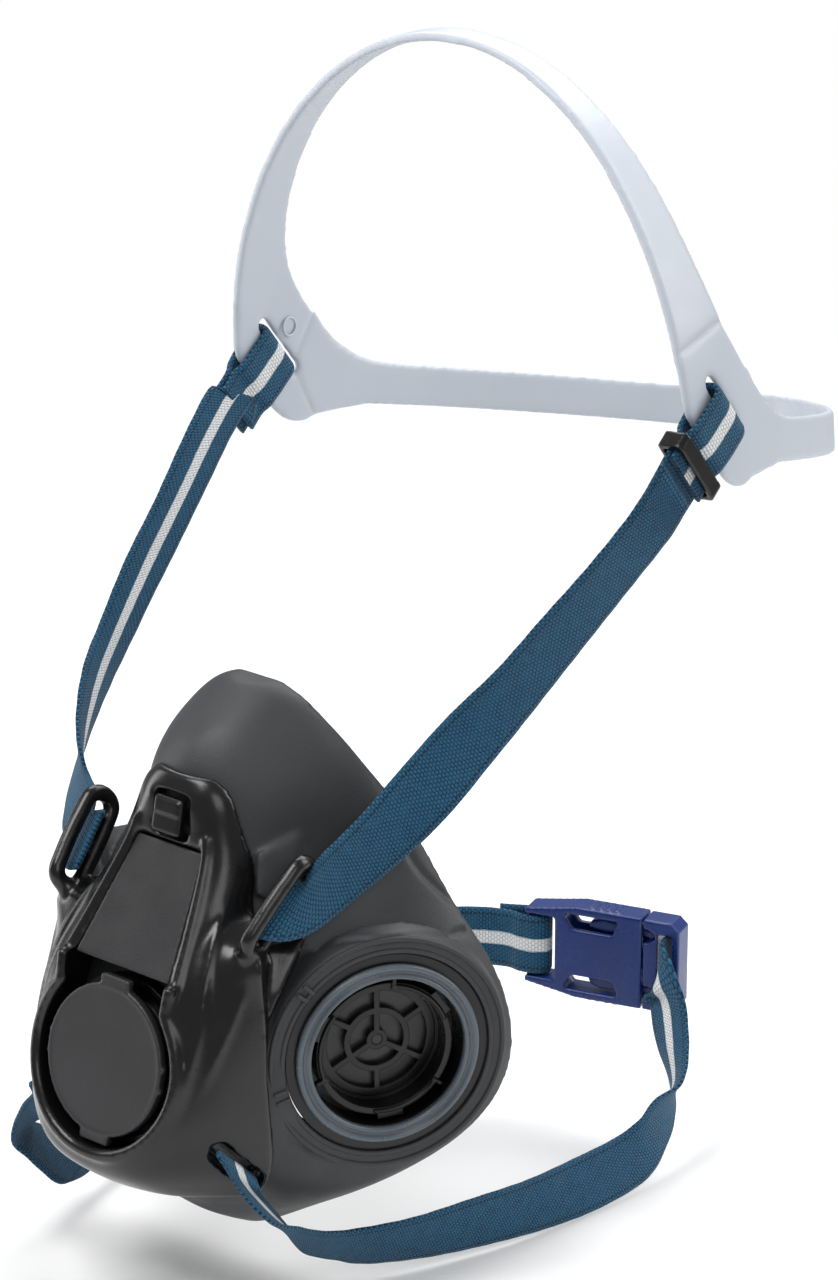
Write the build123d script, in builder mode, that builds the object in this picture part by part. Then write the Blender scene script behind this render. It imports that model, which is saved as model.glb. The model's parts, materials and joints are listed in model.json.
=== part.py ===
from build123d import *
import math
import os

os.makedirs("parts", exist_ok=True)

# ---------------------------------------------------------------- dimensions
# Frame: +X is the wearer's left, the mask faces -Y, +Z is up.
# The origin is the middle of the face opening.
WALL = 2.5              # elastomer wall of the face-piece
STRAP_W = 15.0          # woven elastic webbing
STRAP_T = 1.4
PORT_C = (45.0, -27.0, -15.2)      # outer face of the wearer's left inhalation port
PORT_ANGLE = 60.0       # port axis, degrees from straight ahead
GASKET_R = 21.0         # filter gasket, outer radius
PORT_BORE_R = 17.6      # mouth of the port, inside the gasket
SOCKET_R = 14.2         # inner wall of the bayonet ring
SEAT_R = 13.6           # seat of the grille at its foot
EXH_C = (0.0, -70.0, -15.0)        # outer face of the exhalation cover
EXH_TILT = 12.9         # exhalation axis, degrees above straight ahead
COVER_R = 17.0
PLATE_TOP = (-47.6, 29.2)          # label plate in side view (y, z)
PLATE_BOT = (-63.9, 4.9)
BUTTON_C = (0.0, -47.6, 35.6)
CRADLE_O = (-0.12, 50.37, 105.15)
CR_A, CR_B, CR_C = 66.8, 119.5, 86.1   # half width, depth and height of the cradle
CR_T = 2.2
CR_ROLL, CR_YAW = -0.080, 0.029
BUCKLE_O = (-2.7, 83.3, -38.5)     # middle of the female strap bar
BUCKLE_YAW = 17.2
PRONG_PIN_R = 1.4
PIN_GAP = 0.05          # running clearance of the small pins


def unit(v):
    n = math.sqrt(sum(c * c for c in v))
    return tuple(c / n for c in v)


def minus(a, b):
    return tuple(x - y for x, y in zip(a, b))


def dot(a, b):
    return sum(x * y for x, y in zip(a, b))


# ---------------------------------------------------------------- face-piece shape
# Horizontal slices: height, then the half outline from the middle of the front
# (x = 0) round the cheek to the rear rim.
SLICES = [
    (-68.5, [(0, -30), (1.6, -29.8), (3.0, -29.2), (4.0, -28.2), (4.8, -27), (5, -26)]),
    (-65, [(0, -36), (4.5, -35.4), (8.6, -33.4), (11.4, -30), (13.2, -26), (13.5, -22.5)]),
    (-59, [(0, -44), (8, -43), (14.5, -39.2), (20, -32), (23.8, -22.5), (24.2, -16)]),
    (-50, [(0, -55.5), (12, -54), (20, -48.5), (30, -34), (37.2, -17.5), (38, -6)]),
    (-40, [(0, -64), (14, -62.5), (23, -56.5), (35, -34.5), (45, -13.5), (47, 1.5)]),
    (-28, [(0, -64), (16, -63), (26, -56.5), (39.5, -32), (51, -10), (52.5, 4.5)]),
    (-15, [(0, -61), (17, -60), (27, -54), (41, -29.5), (53, -9), (54, 4)]),
    (0, [(0, -57), (15, -56), (25, -50.5), (38, -30), (48, -12), (49, 2)]),
    (12, [(0, -51), (12, -50), (20.5, -45), (32.5, -28), (41.5, -12), (43, -2)]),
    (25, [(0, -45), (10, -44), (17, -40), (27, -26), (34.6, -13), (36, -5)]),
    (36, [(0, -44), (9, -43), (15.5, -38.8), (23, -27.5), (29, -15.5), (30, -8.5)]),
    (45, [(0, -43), (8, -41), (14, -36), (20, -27), (23.6, -17.5), (24, -12)]),
    (52, [(0, -37.5), (6, -36), (11, -31.6), (15.5, -25), (18.2, -18.5), (18.5, -15)]),
    (57, [(0, -30), (4.5, -29.2), (8, -26.6), (10.8, -23), (12.3, -19.3), (12.4, -17)]),
    (60, [(0, -24), (2.2, -23.7), (3.9, -22.7), (5, -21.3), (5.7, -19.6), (5.8, -18)]),
]
# Horizontal slices of the yoke's outer surface, front middle to side edge.
YOKE_SLICES = [
    (-46, [(0, -66.5), (8, -65.5), (14, -63), (22, -57), (27.5, -51.5)]),
    (-41, [(0, -73), (10, -72), (16, -69.5), (26, -59), (31, -51.5)]),
    (-36, [(0, -75.2), (13, -74.4), (18.5, -71.5), (28, -60), (32, -51)]),
    (-28, [(0, -74.5), (16, -73.8), (21.5, -70.8), (29, -60), (32, -51.2)]),
    (-15, [(0, -71.8), (16.5, -71), (22, -68.2), (29, -58.5), (31.8, -52)]),
    (-3, [(0, -68.6), (15.5, -68), (21.5, -65), (28, -57.5), (31.5, -52)]),
    (5, [(0, -64.8), (14.8, -64.4), (20.5, -61.5), (27, -56.5), (31, -52.3)]),
    (12, [(0, -59.9), (13.8, -59.4), (19, -57), (25.5, -54), (29.6, -51.4)]),
    (16, [(0, -57.1), (13.2, -56.6), (17.6, -54), (20.5, -49), (21.5, -44.5)]),
    (22, [(0, -53), (12.4, -52.5), (16.2, -50), (18.2, -45.8), (18.8, -41.5)]),
    (29, [(0, -48.4), (11.4, -48.2), (14.6, -46.4), (16.2, -43), (16.5, -39)]),
    (36, [(0, -47.8), (8.6, -47.3), (11.8, -45.6), (13.6, -43), (14, -40)]),
    (41, [(0, -47.2), (7, -46.5), (10, -44.8), (11.6, -42.6), (12, -40)]),
    (44.6, [(0, -45.4), (4.4, -44.9), (6.4, -43.8), (7.6, -42.3), (8, -40.6)]),
]


def inset(points, t):
    """Half outline moved inwards by t."""
    out = []
    for i, (x, y) in enumerate(points):
        a = points[max(i - 1, 0)]
        b = points[min(i + 1, len(points) - 1)]
        tx, ty = (1.0, 0.0) if i == 0 else (b[0] - a[0], b[1] - a[1])
        n = math.hypot(tx, ty)
        out.append((0.0 if i == 0 else x + t * ty / n * -1, y + t * tx / n))
    return out


def both(points):
    return [(-x, y) for x, y in reversed(points[1:])] + list(points)


# frames of the ports and of the exhalation valve
pa = math.radians(PORT_ANGLE)
PORT_N = (math.sin(pa), -math.cos(pa), 0.0)
PORT_U = (math.cos(pa), math.sin(pa), 0.0)
PORT_L = Plane(origin=PORT_C, x_dir=PORT_U, z_dir=PORT_N)
PORT_R = Plane(origin=(-PORT_C[0], PORT_C[1], PORT_C[2]), x_dir=(PORT_U[0], -PORT_U[1], 0),
               z_dir=(-PORT_N[0], PORT_N[1], 0))
ea = math.radians(EXH_TILT)
EXH_N = (0.0, -math.cos(ea), math.sin(ea))
EXH = Plane(origin=EXH_C, x_dir=(1, 0, 0), z_dir=EXH_N)


def axial(plane):
    """Plane that holds the axis of a round part: x across, y along the axis."""
    return Plane(origin=plane.origin, x_dir=plane.x_dir,
                 z_dir=plane.x_dir.cross(plane.z_dir))


# plane of the label plate and of the latch button
pd = unit((0.0, PLATE_TOP[0] - PLATE_BOT[0], PLATE_TOP[1] - PLATE_BOT[1]))
PLATE_N = (0.0, -pd[2], pd[1])
PLATE_LEN = math.dist(PLATE_TOP, PLATE_BOT)
PLATE = Plane(origin=(0, (PLATE_TOP[0] + PLATE_BOT[0]) / 2, (PLATE_TOP[1] + PLATE_BOT[1]) / 2),
              x_dir=(1, 0, 0), z_dir=PLATE_N)
BUTTON_N = unit((0.0, -0.98, 0.2))
BUTTON = Plane(origin=BUTTON_C, x_dir=(1, 0, 0), z_dir=BUTTON_N)

# strap slots of the yoke: a flat eye standing on each upper corner of the yoke and
# a slot through each lower corner
LUG_C = (29.3, -45.2, 21.2)
LUG_S = unit((0.11, 0.7, 0.7))          # along the slot
LUG_N = unit((0.955, 0.12, -0.27))      # across the eye
LOW_C = (28.6, -58.2, -36.4)
LOW_S = unit((0.11, 0.7, -0.7))
LOW_N = unit((0.80, -0.50, -0.374))


def mirrored(v):
    return (-v[0], v[1], v[2])


def square_to(n, s):
    """n made exactly perpendicular to s."""
    k = dot(n, s)
    return unit(tuple(a - k * b for a, b in zip(n, s)))


LUG_N = square_to(LUG_N, LUG_S)
LOW_N = square_to(LOW_N, LOW_S)
EYES = [Plane(origin=LUG_C, x_dir=LUG_S, z_dir=LUG_N),
        Plane(origin=mirrored(LUG_C), x_dir=mirrored(LUG_S), z_dir=mirrored(LUG_N))]
LOWS = [Plane(origin=LOW_C, x_dir=LOW_S, z_dir=LOW_N),
        Plane(origin=mirrored(LOW_C), x_dir=mirrored(LOW_S), z_dir=mirrored(LOW_N))]

# ---------------------------------------------------------------- face cup
with BuildPart() as cup_form:
    for z, pts in SLICES:
        with BuildSketch(Plane.XY.offset(z)):
            with BuildLine():
                row = both(pts)
                Spline(*row)
                Line(row[-1], row[0])
            make_face()
    loft()

with BuildPart() as cup_hollow:
    for z, pts in SLICES:
        if not -66 < z < 58:
            continue
        with BuildSketch(Plane.XY.offset({-65: -65.6, 57: 57.2}.get(z, z))):
            with BuildLine():
                row = both(inset(pts, WALL))
                end = row[-1]
                row = row[1:-1]
                back = (end[0], max(end[1] - WALL, row[-1][1] + 0.4))
                Spline(*row)
                Polyline(row[-1], back, (-back[0], back[1]), row[0])
            make_face()
    loft()

with BuildPart() as cup_mouth:
    for z, pts in SLICES:
        if not -60 < z < 55:
            continue
        xr, yr = pts[-1]
        with BuildSketch(Plane.XY.offset(z)):
            with BuildLine():
                h = max(xr - 8.0, 3.0)
                Polyline((-h, yr - 9), (h, yr - 9), (h, yr + 6), (-h, yr + 6), close=True)
            make_face()
    loft(ruled=True)

with BuildPart() as face_cup:
    add(cup_form.part)
    # raised ring round each inhalation port
    for port in (PORT_L, PORT_R):
        with BuildSketch(port.offset(-1.2)):
            Circle(27.5)
        extrude(amount=-6, taper=-12)
    add(cup_hollow.part, mode=Mode.SUBTRACT)
    add(cup_mouth.part, mode=Mode.SUBTRACT)
    for port in (PORT_L, PORT_R):
        with BuildSketch(port.offset(2)):
            Circle(23.4)
        extrude(amount=-5.0, mode=Mode.SUBTRACT)
        with BuildSketch(port.offset(2)):
            Circle(18.9)
        extrude(amount=-14, mode=Mode.SUBTRACT)
        with BuildSketch(port.offset(-5.7)):
            Circle(22.3)
        extrude(amount=-8, mode=Mode.SUBTRACT)
    with BuildSketch(EXH.offset(0)):
        Circle(16.2)
    extrude(amount=-16, mode=Mode.SUBTRACT)
face_cup.part.label = "face_cup"
export_step(face_cup.part, "parts/face_cup.step")
print("face_cup", face_cup.part.volume, len(face_cup.part.solids()))

# ---------------------------------------------------------------- yoke
with BuildPart() as yoke:
    for z, pts in YOKE_SLICES:
        with BuildSketch(Plane.XY.offset(z)):
            with BuildLine():
                row = both(pts)
                end = row[-1]
                back = (end[0] - 3.5, end[1] + 6)
                Spline(*row)
                Polyline(row[-1], back, (-back[0], back[1]), row[0])
            make_face()
    loft()
    # eyes for the upper straps
    for eye in EYES:
        with BuildSketch(eye.offset(-1.3)):
            SlotOverall(25.5, 9.4)
        extrude(amount=2.6)
    add(cup_form.part, mode=Mode.SUBTRACT)
    for port in (PORT_L, PORT_R):
        with BuildSketch(port.offset(4)):
            Circle(27.8)
        extrude(amount=-9, mode=Mode.SUBTRACT)
    for eye in EYES:
        with BuildSketch(eye.offset(-4)):
            SlotOverall(19.7, 4.2)
        extrude(amount=8, mode=Mode.SUBTRACT)
    for low in LOWS:
        with BuildSketch(low.offset(-3)):
            SlotOverall(17.5, 4.6)
        extrude(amount=12, mode=Mode.SUBTRACT)
    # window over the exhalation valve
    with BuildSketch(EXH.offset(12)):
        Circle(19.4)
        with Locations((0, 10.5)):
            Rectangle(33, 21)
    extrude(amount=-40, mode=Mode.SUBTRACT)
    # seat of the label plate and pocket of the latch button
    with BuildSketch(PLATE.offset(-1.4)):
        Trapezoid(28.4, PLATE_LEN + 0.6, 81.5)
    extrude(amount=8, mode=Mode.SUBTRACT)
    with BuildSketch(BUTTON.offset(-3.0)):
        RectangleRounded(10.2, 10.2, 0.8)
    extrude(amount=12, mode=Mode.SUBTRACT)
yoke.part.label = "yoke"
export_step(yoke.part, "parts/yoke.step")
print("yoke", yoke.part.volume, len(yoke.part.solids()), [round(s.volume) for s in yoke.part.solids()])

# ---------------------------------------------------------------- label plate, latch
with BuildPart() as label_plate:
    with BuildSketch(PLATE.offset(-1.38)):
        Trapezoid(28.0, PLATE_LEN, 81.5)
    extrude(amount=1.3)
    with BuildSketch(PLATE.offset(-0.08)):
        with Locations((0, -1.5)):
            Trapezoid(22.0, 20, 81.5)
    extrude(amount=-0.4, mode=Mode.SUBTRACT)
label_plate.part.label = "label_plate"
export_step(label_plate.part, "parts/label_plate.step")

with BuildPart() as latch_button:
    with BuildSketch(BUTTON.offset(-0.7)):
        RectangleRounded(8.2, 8.2, 0.7)
    extrude(amount=2.2)
    fillet(latch_button.edges().filter_by(GeomType.LINE).group_by(Axis((0, 0, 0), BUTTON_N))[-1], 0.5)
latch_button.part.label = "latch_button"
export_step(latch_button.part, "parts/latch_button.step")

# ---------------------------------------------------------------- exhalation valve
with BuildPart() as exhale_housing:
    with BuildSketch(EXH.offset(-8.6)):
        Circle(18.6)
    extrude(amount=1.3)
    with BuildSketch(EXH.offset(-7.3)):
        Circle(18.6)
        Circle(17.4, mode=Mode.SUBTRACT)
    extrude(amount=1.9)
    with BuildSketch(EXH.offset(-8.6)):
        Circle(16.0)
    extrude(amount=-4.9)
    with BuildSketch(EXH.offset(-7)):
        Circle(12.0)
    extrude(amount=-8, mode=Mode.SUBTRACT)
    # cross that carries the valve stem
    with BuildSketch(EXH.offset(-8.6)):
        Circle(2.4)
        Rectangle(24.4, 1.6)
        Rectangle(1.6, 24.4)
    extrude(amount=1.3)
    with BuildSketch(EXH.offset(-7)):
        Circle(1.2 + PIN_GAP)
    extrude(amount=-8, mode=Mode.SUBTRACT)
    # posts that carry the cover
    with BuildSketch(EXH.offset(-5.4)):
        with Locations((0, 18.0), (0, -18.0)):
            Rectangle(7.0, 1.2)
    extrude(amount=3.3)
exhale_housing.part.label = "exhale_housing"
export_step(exhale_housing.part, "parts/exhale_housing.step")

with BuildPart() as exhale_valve:
    with BuildSketch(EXH.offset(-7.2)):
        Circle(14.2)
    extrude(amount=0.9)
    with BuildSketch(EXH.offset(-7.0)):
        Circle(1.2)
    extrude(amount=-4.4)
exhale_valve.part.label = "exhale_valve"
export_step(exhale_valve.part, "parts/exhale_valve.step")

with BuildPart() as exhale_cover:
    with BuildSketch(EXH.offset(-2.0)):
        Circle(COVER_R)
        with Locations((0, 17.1), (0, -17.1)):
            Rectangle(8.6, 3.2)
    extrude(amount=2.0)
exhale_cover.part.label = "exhale_cover"
export_step(exhale_cover.part, "parts/exhale_cover.step")

# ---------------------------------------------------------------- inhalation ports
with BuildPart() as port_body_left:
    with BuildSketch(axial(PORT_L)):
        with BuildLine():
            Polyline((PORT_BORE_R, -1.6), (23.2, -1.6), (23.2, -2.9), (18.7, -2.9),
                     (18.7, -10.0), (SEAT_R, -10.0), (SEAT_R, -8.5), (SOCKET_R, -8.5),
                     (SOCKET_R, -3.4), (15.6, -3.4),
                     (15.6, -8.6), (PORT_BORE_R, -8.6), close=True)
        make_face()
    revolve(axis=Axis(PORT_C, PORT_N))
    # three bayonet lugs on the inner ring
    with BuildSketch(PORT_L.offset(-4.6)):
        with PolarLocations(16.0, 3, start_angle=35):
            Rectangle(1.4, 6.0)
    extrude(amount=1.2)
port_body_left.part.label = "port_body_left"
export_step(port_body_left.part, "parts/port_body_left.step")

with BuildPart() as port_gasket_left:
    with BuildSketch(PORT_L.offset(-1.6)):
        Circle(GASKET_R)
        Circle(PORT_BORE_R, mode=Mode.SUBTRACT)
    extrude(amount=1.6)
    fillet(port_gasket_left.edges().filter_by(GeomType.CIRCLE).group_by(
        Axis(PORT_C, PORT_N))[-1], 0.6)
port_gasket_left.part.label = "port_gasket_left"
export_step(port_gasket_left.part, "parts/port_gasket_left.step")

with BuildPart() as port_grille_left:
    with BuildSketch(PORT_L.offset(-10.0)):
        Circle(SEAT_R - 0.02)
        Circle(11.6, mode=Mode.SUBTRACT)
    extrude(amount=1.5)
    with BuildSketch(PORT_L.offset(-10.0)):
        Circle(7.6)
        Circle(6.2, mode=Mode.SUBTRACT)
        Circle(2.4)
        with PolarLocations(4.4, 3, start_angle=90):
            Rectangle(5.6, 1.3)
        with PolarLocations(9.6, 6, start_angle=30):
            Rectangle(5.2, 1.3)
    extrude(amount=1.5)
    with BuildSketch(PORT_L.offset(-8)):
        Circle(1.2 + PIN_GAP)
    extrude(amount=-4, mode=Mode.SUBTRACT)
port_grille_left.part.label = "port_grille_left"
export_step(port_grille_left.part, "parts/port_grille_left.step")

with BuildPart() as inhale_valve_left:
    with BuildSketch(PORT_L.offset(-10.9)):
        Circle(13.4)
    extrude(amount=0.8)
    with BuildSketch(PORT_L.offset(-10.5)):
        Circle(1.2)
    extrude(amount=1.9)
inhale_valve_left.part.label = "inhale_valve_left"
export_step(inhale_valve_left.part, "parts/inhale_valve_left.step")

with BuildPart() as port_clamp_ring_left:
    with BuildSketch(PORT_L.offset(-7.4)):
        Circle(22.0)
        Circle(18.8, mode=Mode.SUBTRACT)
    extrude(amount=1.6)
port_clamp_ring_left.part.label = "port_clamp_ring_left"
export_step(port_clamp_ring_left.part, "parts/port_clamp_ring_left.step")

with BuildPart() as port_body_right:
    add(mirror(port_body_left.part, about=Plane.YZ))
port_body_right.part.label = "port_body_right"
export_step(port_body_right.part, "parts/port_body_right.step")

with BuildPart() as port_gasket_right:
    add(mirror(port_gasket_left.part, about=Plane.YZ))
port_gasket_right.part.label = "port_gasket_right"
export_step(port_gasket_right.part, "parts/port_gasket_right.step")

with BuildPart() as port_grille_right:
    add(mirror(port_grille_left.part, about=Plane.YZ))
port_grille_right.part.label = "port_grille_right"
export_step(port_grille_right.part, "parts/port_grille_right.step")

with BuildPart() as inhale_valve_right:
    add(mirror(inhale_valve_left.part, about=Plane.YZ))
inhale_valve_right.part.label = "inhale_valve_right"
export_step(inhale_valve_right.part, "parts/inhale_valve_right.step")

with BuildPart() as port_clamp_ring_right:
    add(mirror(port_clamp_ring_left.part, about=Plane.YZ))
port_clamp_ring_right.part.label = "port_clamp_ring_right"
export_step(port_clamp_ring_right.part, "parts/port_clamp_ring_right.step")

# ---------------------------------------------------------------- cradle
cr, sr = math.cos(CR_ROLL), math.sin(CR_ROLL)
cy, sy = math.cos(CR_YAW), math.sin(CR_YAW)
CX = (cy * cr, sy * cr, -sr)
CY = (-sy, cy, 0.0)
CZ = (cy * sr, sy * sr, cr)
CR_XY = Plane(origin=CRADLE_O, x_dir=CX, z_dir=CZ)
CR_XZ = Plane(origin=CRADLE_O, x_dir=CX, z_dir=tuple(-c for c in CY))
CR_YZ = Plane(origin=CRADLE_O, x_dir=CY, z_dir=CX)
SLOT_C = (10.05, 5.4)         # slot centre in the cradle's side view (y, z)
SLOT_DIR = -53.1              # degrees from the cradle's +Y
BAND_SLOPE = -0.249


def half_band(b, n=14):
    """Plan of the rear band: half width a, depth b."""
    pts = []
    for i in range(n + 1):
        t = math.pi / 2 * i / n
        pts.append(((CR_A - b) * math.cos(t) ** 1.15, (CR_B - b) * math.sin(t) ** 1.15))
    return pts


def arch(b, n=24):
    """Front view of the crown band."""
    return [((CR_A - b) * math.cos(math.pi * i / n), (CR_C - b) * math.sin(math.pi * i / n))
            for i in range(n + 1)]


with BuildPart() as crown_band:
    with BuildSketch(CR_XZ):
        with BuildLine():
            outer = arch(0.0)
            inner = arch(CR_T)
            Spline(*outer)
            Line(outer[-1], inner[-1])
            Spline(*inner)
            Line(inner[0], outer[0])
        make_face()
    extrude(amount=40, both=True)
    with BuildSketch(CR_YZ):
        with BuildLine():
            a = [(-4.0, 8.0), (-4.6, 25), (-4.4, 45), (-3.4, 66), (-1.6, 88)]
            c = [(6.4, 88), (7.0, 68), (8.0, 52), (9.6, 38), (12.8, 26), (18.0, 16)]
            Spline(*a)
            Line(a[-1], c[0])
            Spline(*c)
            Polyline(c[-1], (14, 4), (0, 2), a[0])
        make_face()
    extrude(amount=90, both=True, mode=Mode.INTERSECT)

with BuildPart() as rear_band:
    with BuildSketch(CR_XY):
        with BuildLine():
            o = half_band(0.0)
            i_ = half_band(CR_T)
            outer = o + [(-x, y) for x, y in reversed(o[:-1])]
            inner = i_ + [(-x, y) for x, y in reversed(i_[:-1])]
            Spline(*outer)
            Line(outer[-1], inner[-1])
            Spline(*inner)
            Line(inner[0], outer[0])
        make_face()
    extrude(amount=60, both=True)
    with BuildSketch(CR_YZ):
        with BuildLine():
            top = [(22, 12), (28.0, 3.6), (35.0, -2.0), (44, -5.6), (54, -8.2)]
            Spline(*top)
            end = (CR_B + 4, BAND_SLOPE * (CR_B + 4) + 5.2)
            Polyline(top[-1], end, (end[0], end[1] - 10.4), (54, BAND_SLOPE * 54 - 5.2),
                     (36, -14.4), (20, -13.5), (14, 0), top[0])
        make_face()
    extrude(amount=90, both=True, mode=Mode.INTERSECT)

with BuildPart() as cradle:
    add(crown_band.part)
    add(rear_band.part)
    for side in (1, -1):
        with BuildSketch(CR_YZ.offset(side * (CR_A - CR_T) if side > 0 else -CR_A)):
            with BuildLine():
                f = [(-4.0, 9.0), (-3.2, 5.4), (0.6, 0.2), (9.5, -11.4), (13.0, -13.6), (21, -13.7)]
                g = [(23.5, 8.4), (18.2, 15.8)]
                Spline(*f)
                Polyline(f[-1], (36, -14.2), (35.0, -2.2), (28.0, 3.4), g[0], g[1], (13, 24),
                         (-4.5, 20), f[0])
            make_face()
            with Locations(SLOT_C):
                SlotOverall(19.0, 3.2, rotation=SLOT_DIR, mode=Mode.SUBTRACT)
        extrude(amount=CR_T)
    for side in (1, -1):
        with BuildSketch(CR_YZ.offset(side * 55)):
            with Locations(SLOT_C):
                SlotOverall(19.0, 3.2, rotation=SLOT_DIR)
        extrude(amount=side * 20, mode=Mode.SUBTRACT)
cradle.part.label = "cradle"
export_step(cradle.part, "parts/cradle.step")
print("cradle", cradle.part.volume, [round(s.volume) for s in cradle.part.solids()])

# ---------------------------------------------------------------- straps
# Each row gives the two edges of the webbing at one station.
def slot_row(c, s, n, off, half):
    """Webbing standing in a slot: centre c, slot direction s, off along n."""
    m = tuple(a + off * b for a, b in zip(c, n))
    return (tuple(a + half * b for a, b in zip(m, s)), tuple(a - half * b for a, b in zip(m, s)))


def cradle_row(side, u, x, half=7.5):
    """Webbing beside the cradle's slot: u down from the slot, x out from the middle."""
    k = math.radians(SLOT_DIR)
    sy_, sz_ = math.cos(k), math.sin(k)
    my, mz = sz_, -sy_
    y = SLOT_C[0] + u * my
    z = SLOT_C[1] + u * mz
    out = []
    for h in (-half, half):
        v = (side * x, y + h * sy_, z + h * sz_)
        out.append(tuple(CRADLE_O[i] + v[0] * CX[i] + v[1] * CY[i] + v[2] * CZ[i] for i in range(3)))
    return tuple(out)


def loop_rows(side):
    """The webbing's sewn or slid loop through the cradle's slot, from its outer end."""
    xm = CR_A - CR_T / 2
    return [cradle_row(side, 21.0, xm + 0.9), cradle_row(side, 19.5, xm + 0.9),
            cradle_row(side, 14.5, xm + 0.95), cradle_row(side, 11.5, xm + 2.1),
            cradle_row(side, 5.5, xm + 2.5), cradle_row(side, 2.3, xm + 2.5),
            cradle_row(side, 0.3, xm + 1.7), cradle_row(side, -0.2, xm),
            cradle_row(side, 0.3, xm - 1.7), cradle_row(side, 2.3, xm - 2.5),
            cradle_row(side, 5.5, xm - 2.4), cradle_row(side, 11.5, xm - 2.1),
            cradle_row(side, 14.5, xm - 0.95), cradle_row(side, 19.5, xm - 0.9)]


UPPER_LEFT = [
    ((59.6, 37.3, 97.0), (60.2, 48.9, 87.5)),
    ((56.2, 26.9, 86.5), (56.9, 38.8, 77.3)),
    ((51.6, 16.0, 75.7), (53.5, 27.5, 66.3)),
    ((47.3, 5.6, 65.5), (50.3, 16.4, 55.5)),
    ((41.7, -3.8, 56.2), (47.6, 4.1, 44.9)),
    ((37.9, -12.4, 47.5), (45.2, -7.2, 35.8)),
    ((35.4, -24.3, 38.3), (39.7, -16.5, 26.3)),
    ((33.6, -33.5, 32.6), (35.2, -28.0, 18.7)),
    ((32.7, -38.0, 29.0), (33.3, -41.4, 14.4)),
]
UPPER_RIGHT = [
    ((-65.3, 34.9, 100.2), (-63.6, 48.8, 94.9)),
    ((-63.8, 25.4, 92.0), (-62.9, 40.0, 88.7)),
    ((-63.0, 14.1, 78.8), (-61.1, 29.0, 78.5)),
    ((-61.8, 2.7, 67.3), (-60.2, 17.5, 66.3)),
    ((-60.1, -8.3, 54.5), (-58.9, 6.6, 55.7)),
    ((-56.1, -17.8, 46.9), (-59.0, -3.6, 43.2)),
    ((-51.3, -24.8, 39.4), (-57.5, -12.0, 34.8)),
    ((-45.8, -29.6, 34.1), (-55.2, -19.7, 27.8)),
    ((-42.3, -30.8, 29.6), (-53.3, -26.0, 20.5)),
    ((-37.3, -33.6, 28.2), (-46.0, -35.3, 16.0)),
    ((-33.6, -37.0, 28.0), (-36.3, -42.2, 14.3)),
]
LOWER_RIGHT = [
    ((-31.8, -61.0, -36.0), (-34.6, -51.6, -47.4)),
    ((-36.0, -60.0, -40.6), (-41.7, -49.6, -49.7)),
    ((-40.6, -58.6, -47.6), (-47.2, -47.0, -54.0)),
    ((-43.0, -57.1, -53.7), (-49.9, -43.9, -55.5)),
    ((-42.4, -53.0, -58.8), (-49.8, -40.0, -58.4)),
    ((-41.0, -45.7, -67.3), (-47.0, -32.0, -66.7)),
    ((-41.7, -40.6, -69.4), (-48.9, -27.4, -69.0)),
    ((-44.8, -31.6, -71.3), (-52.6, -19.6, -66.8)),
    ((-47.5, -19.7, -69.1), (-55.3, -10.3, -60.8)),
    ((-51.0, -7.5, -63.5), (-57.0, -2.0, -51.0)),
    ((-54.5, 7.0, -57.0), (-57.5, 9.0, -42.5)),
    ((-54.5, 28.0, -52.5), (-55.0, 29.0, -37.5)),
    ((-46.5, 47.5, -50.5), (-46.5, 48.5, -35.5)),
    ((-33.0, 64.0, -48.0), (-33.0, 64.5, -33.0)),
    ((-20.0, 74.6, -46.5), (-20.0, 74.6, -31.5)),
]
LOWER_LEFT = [
    ((31.4, -59.5, -41.5), (28.4, -47.5, -50.0)),
    ((33.9, -52.9, -49.8), (27.3, -41.8, -57.1)),
    ((32.9, -43.5, -54.9), (26.5, -35.6, -66.0)),
    ((32.4, -35.4, -59.2), (28.2, -26.9, -70.8)),
    ((33.0, -25.8, -62.3), (29.9, -18.0, -74.7)),
    ((38.1, -11.2, -63.3), (36.7, -3.8, -76.2)),
    ((42.0, 6.8, -63.6), (43.0, 13.4, -77.0)),
    ((43.9, 22.2, -64.5), (46.4, 28.5, -77.9)),
    ((44.8, 37.1, -64.7), (48.8, 43.1, -77.8)),
    ((46.4, 51.3, -63.8), (49.5, 58.7, -76.5)),
    ((48.0, 58.3, -61.2), (47.8, 68.0, -72.7)),
    ((47.6, 64.4, -58.4), (44.7, 75.7, -67.9)),
    ((49.2, 72.1, -56.3), (39.2, 81.3, -62.7)),
    ((45.8, 79.1, -51.7), (32.1, 84.4, -54.7)),
    ((40.6, 84.8, -44.7), (26.2, 88.6, -46.4)),
    ((36.9, 85.0, -36.2), (26.3, 86.2, -46.8)),
]
by = math.radians(BUCKLE_YAW)
BK_L = (math.cos(by), math.sin(by), 0.0)
BK_N = (math.sin(by), -math.cos(by), 0.0)


def buckle_row(x, n, up=1, half=7.5):
    """Upright webbing beside the buckle: x along it, n out of its inner face."""
    c = tuple(BUCKLE_O[i] + x * BK_L[i] + n * BK_N[i] for i in range(3))
    return ((c[0], c[1], c[2] - up * half), (c[0], c[1], c[2] + up * half))


def stations(rows):
    """Section planes of a ribbon: x along the width, z along the run."""
    mids = [tuple((a + b) / 2 for a, b in zip(p, q)) for p, q in rows]
    out = []
    for i, (p, q) in enumerate(rows):
        a = mids[max(i - 1, 0)]
        b = mids[min(i + 1, len(mids) - 1)]
        w = unit(minus(q, p))
        out.append(Plane(origin=mids[i], x_dir=w, z_dir=square_to(unit(minus(b, a)), w)))
    return out


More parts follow.
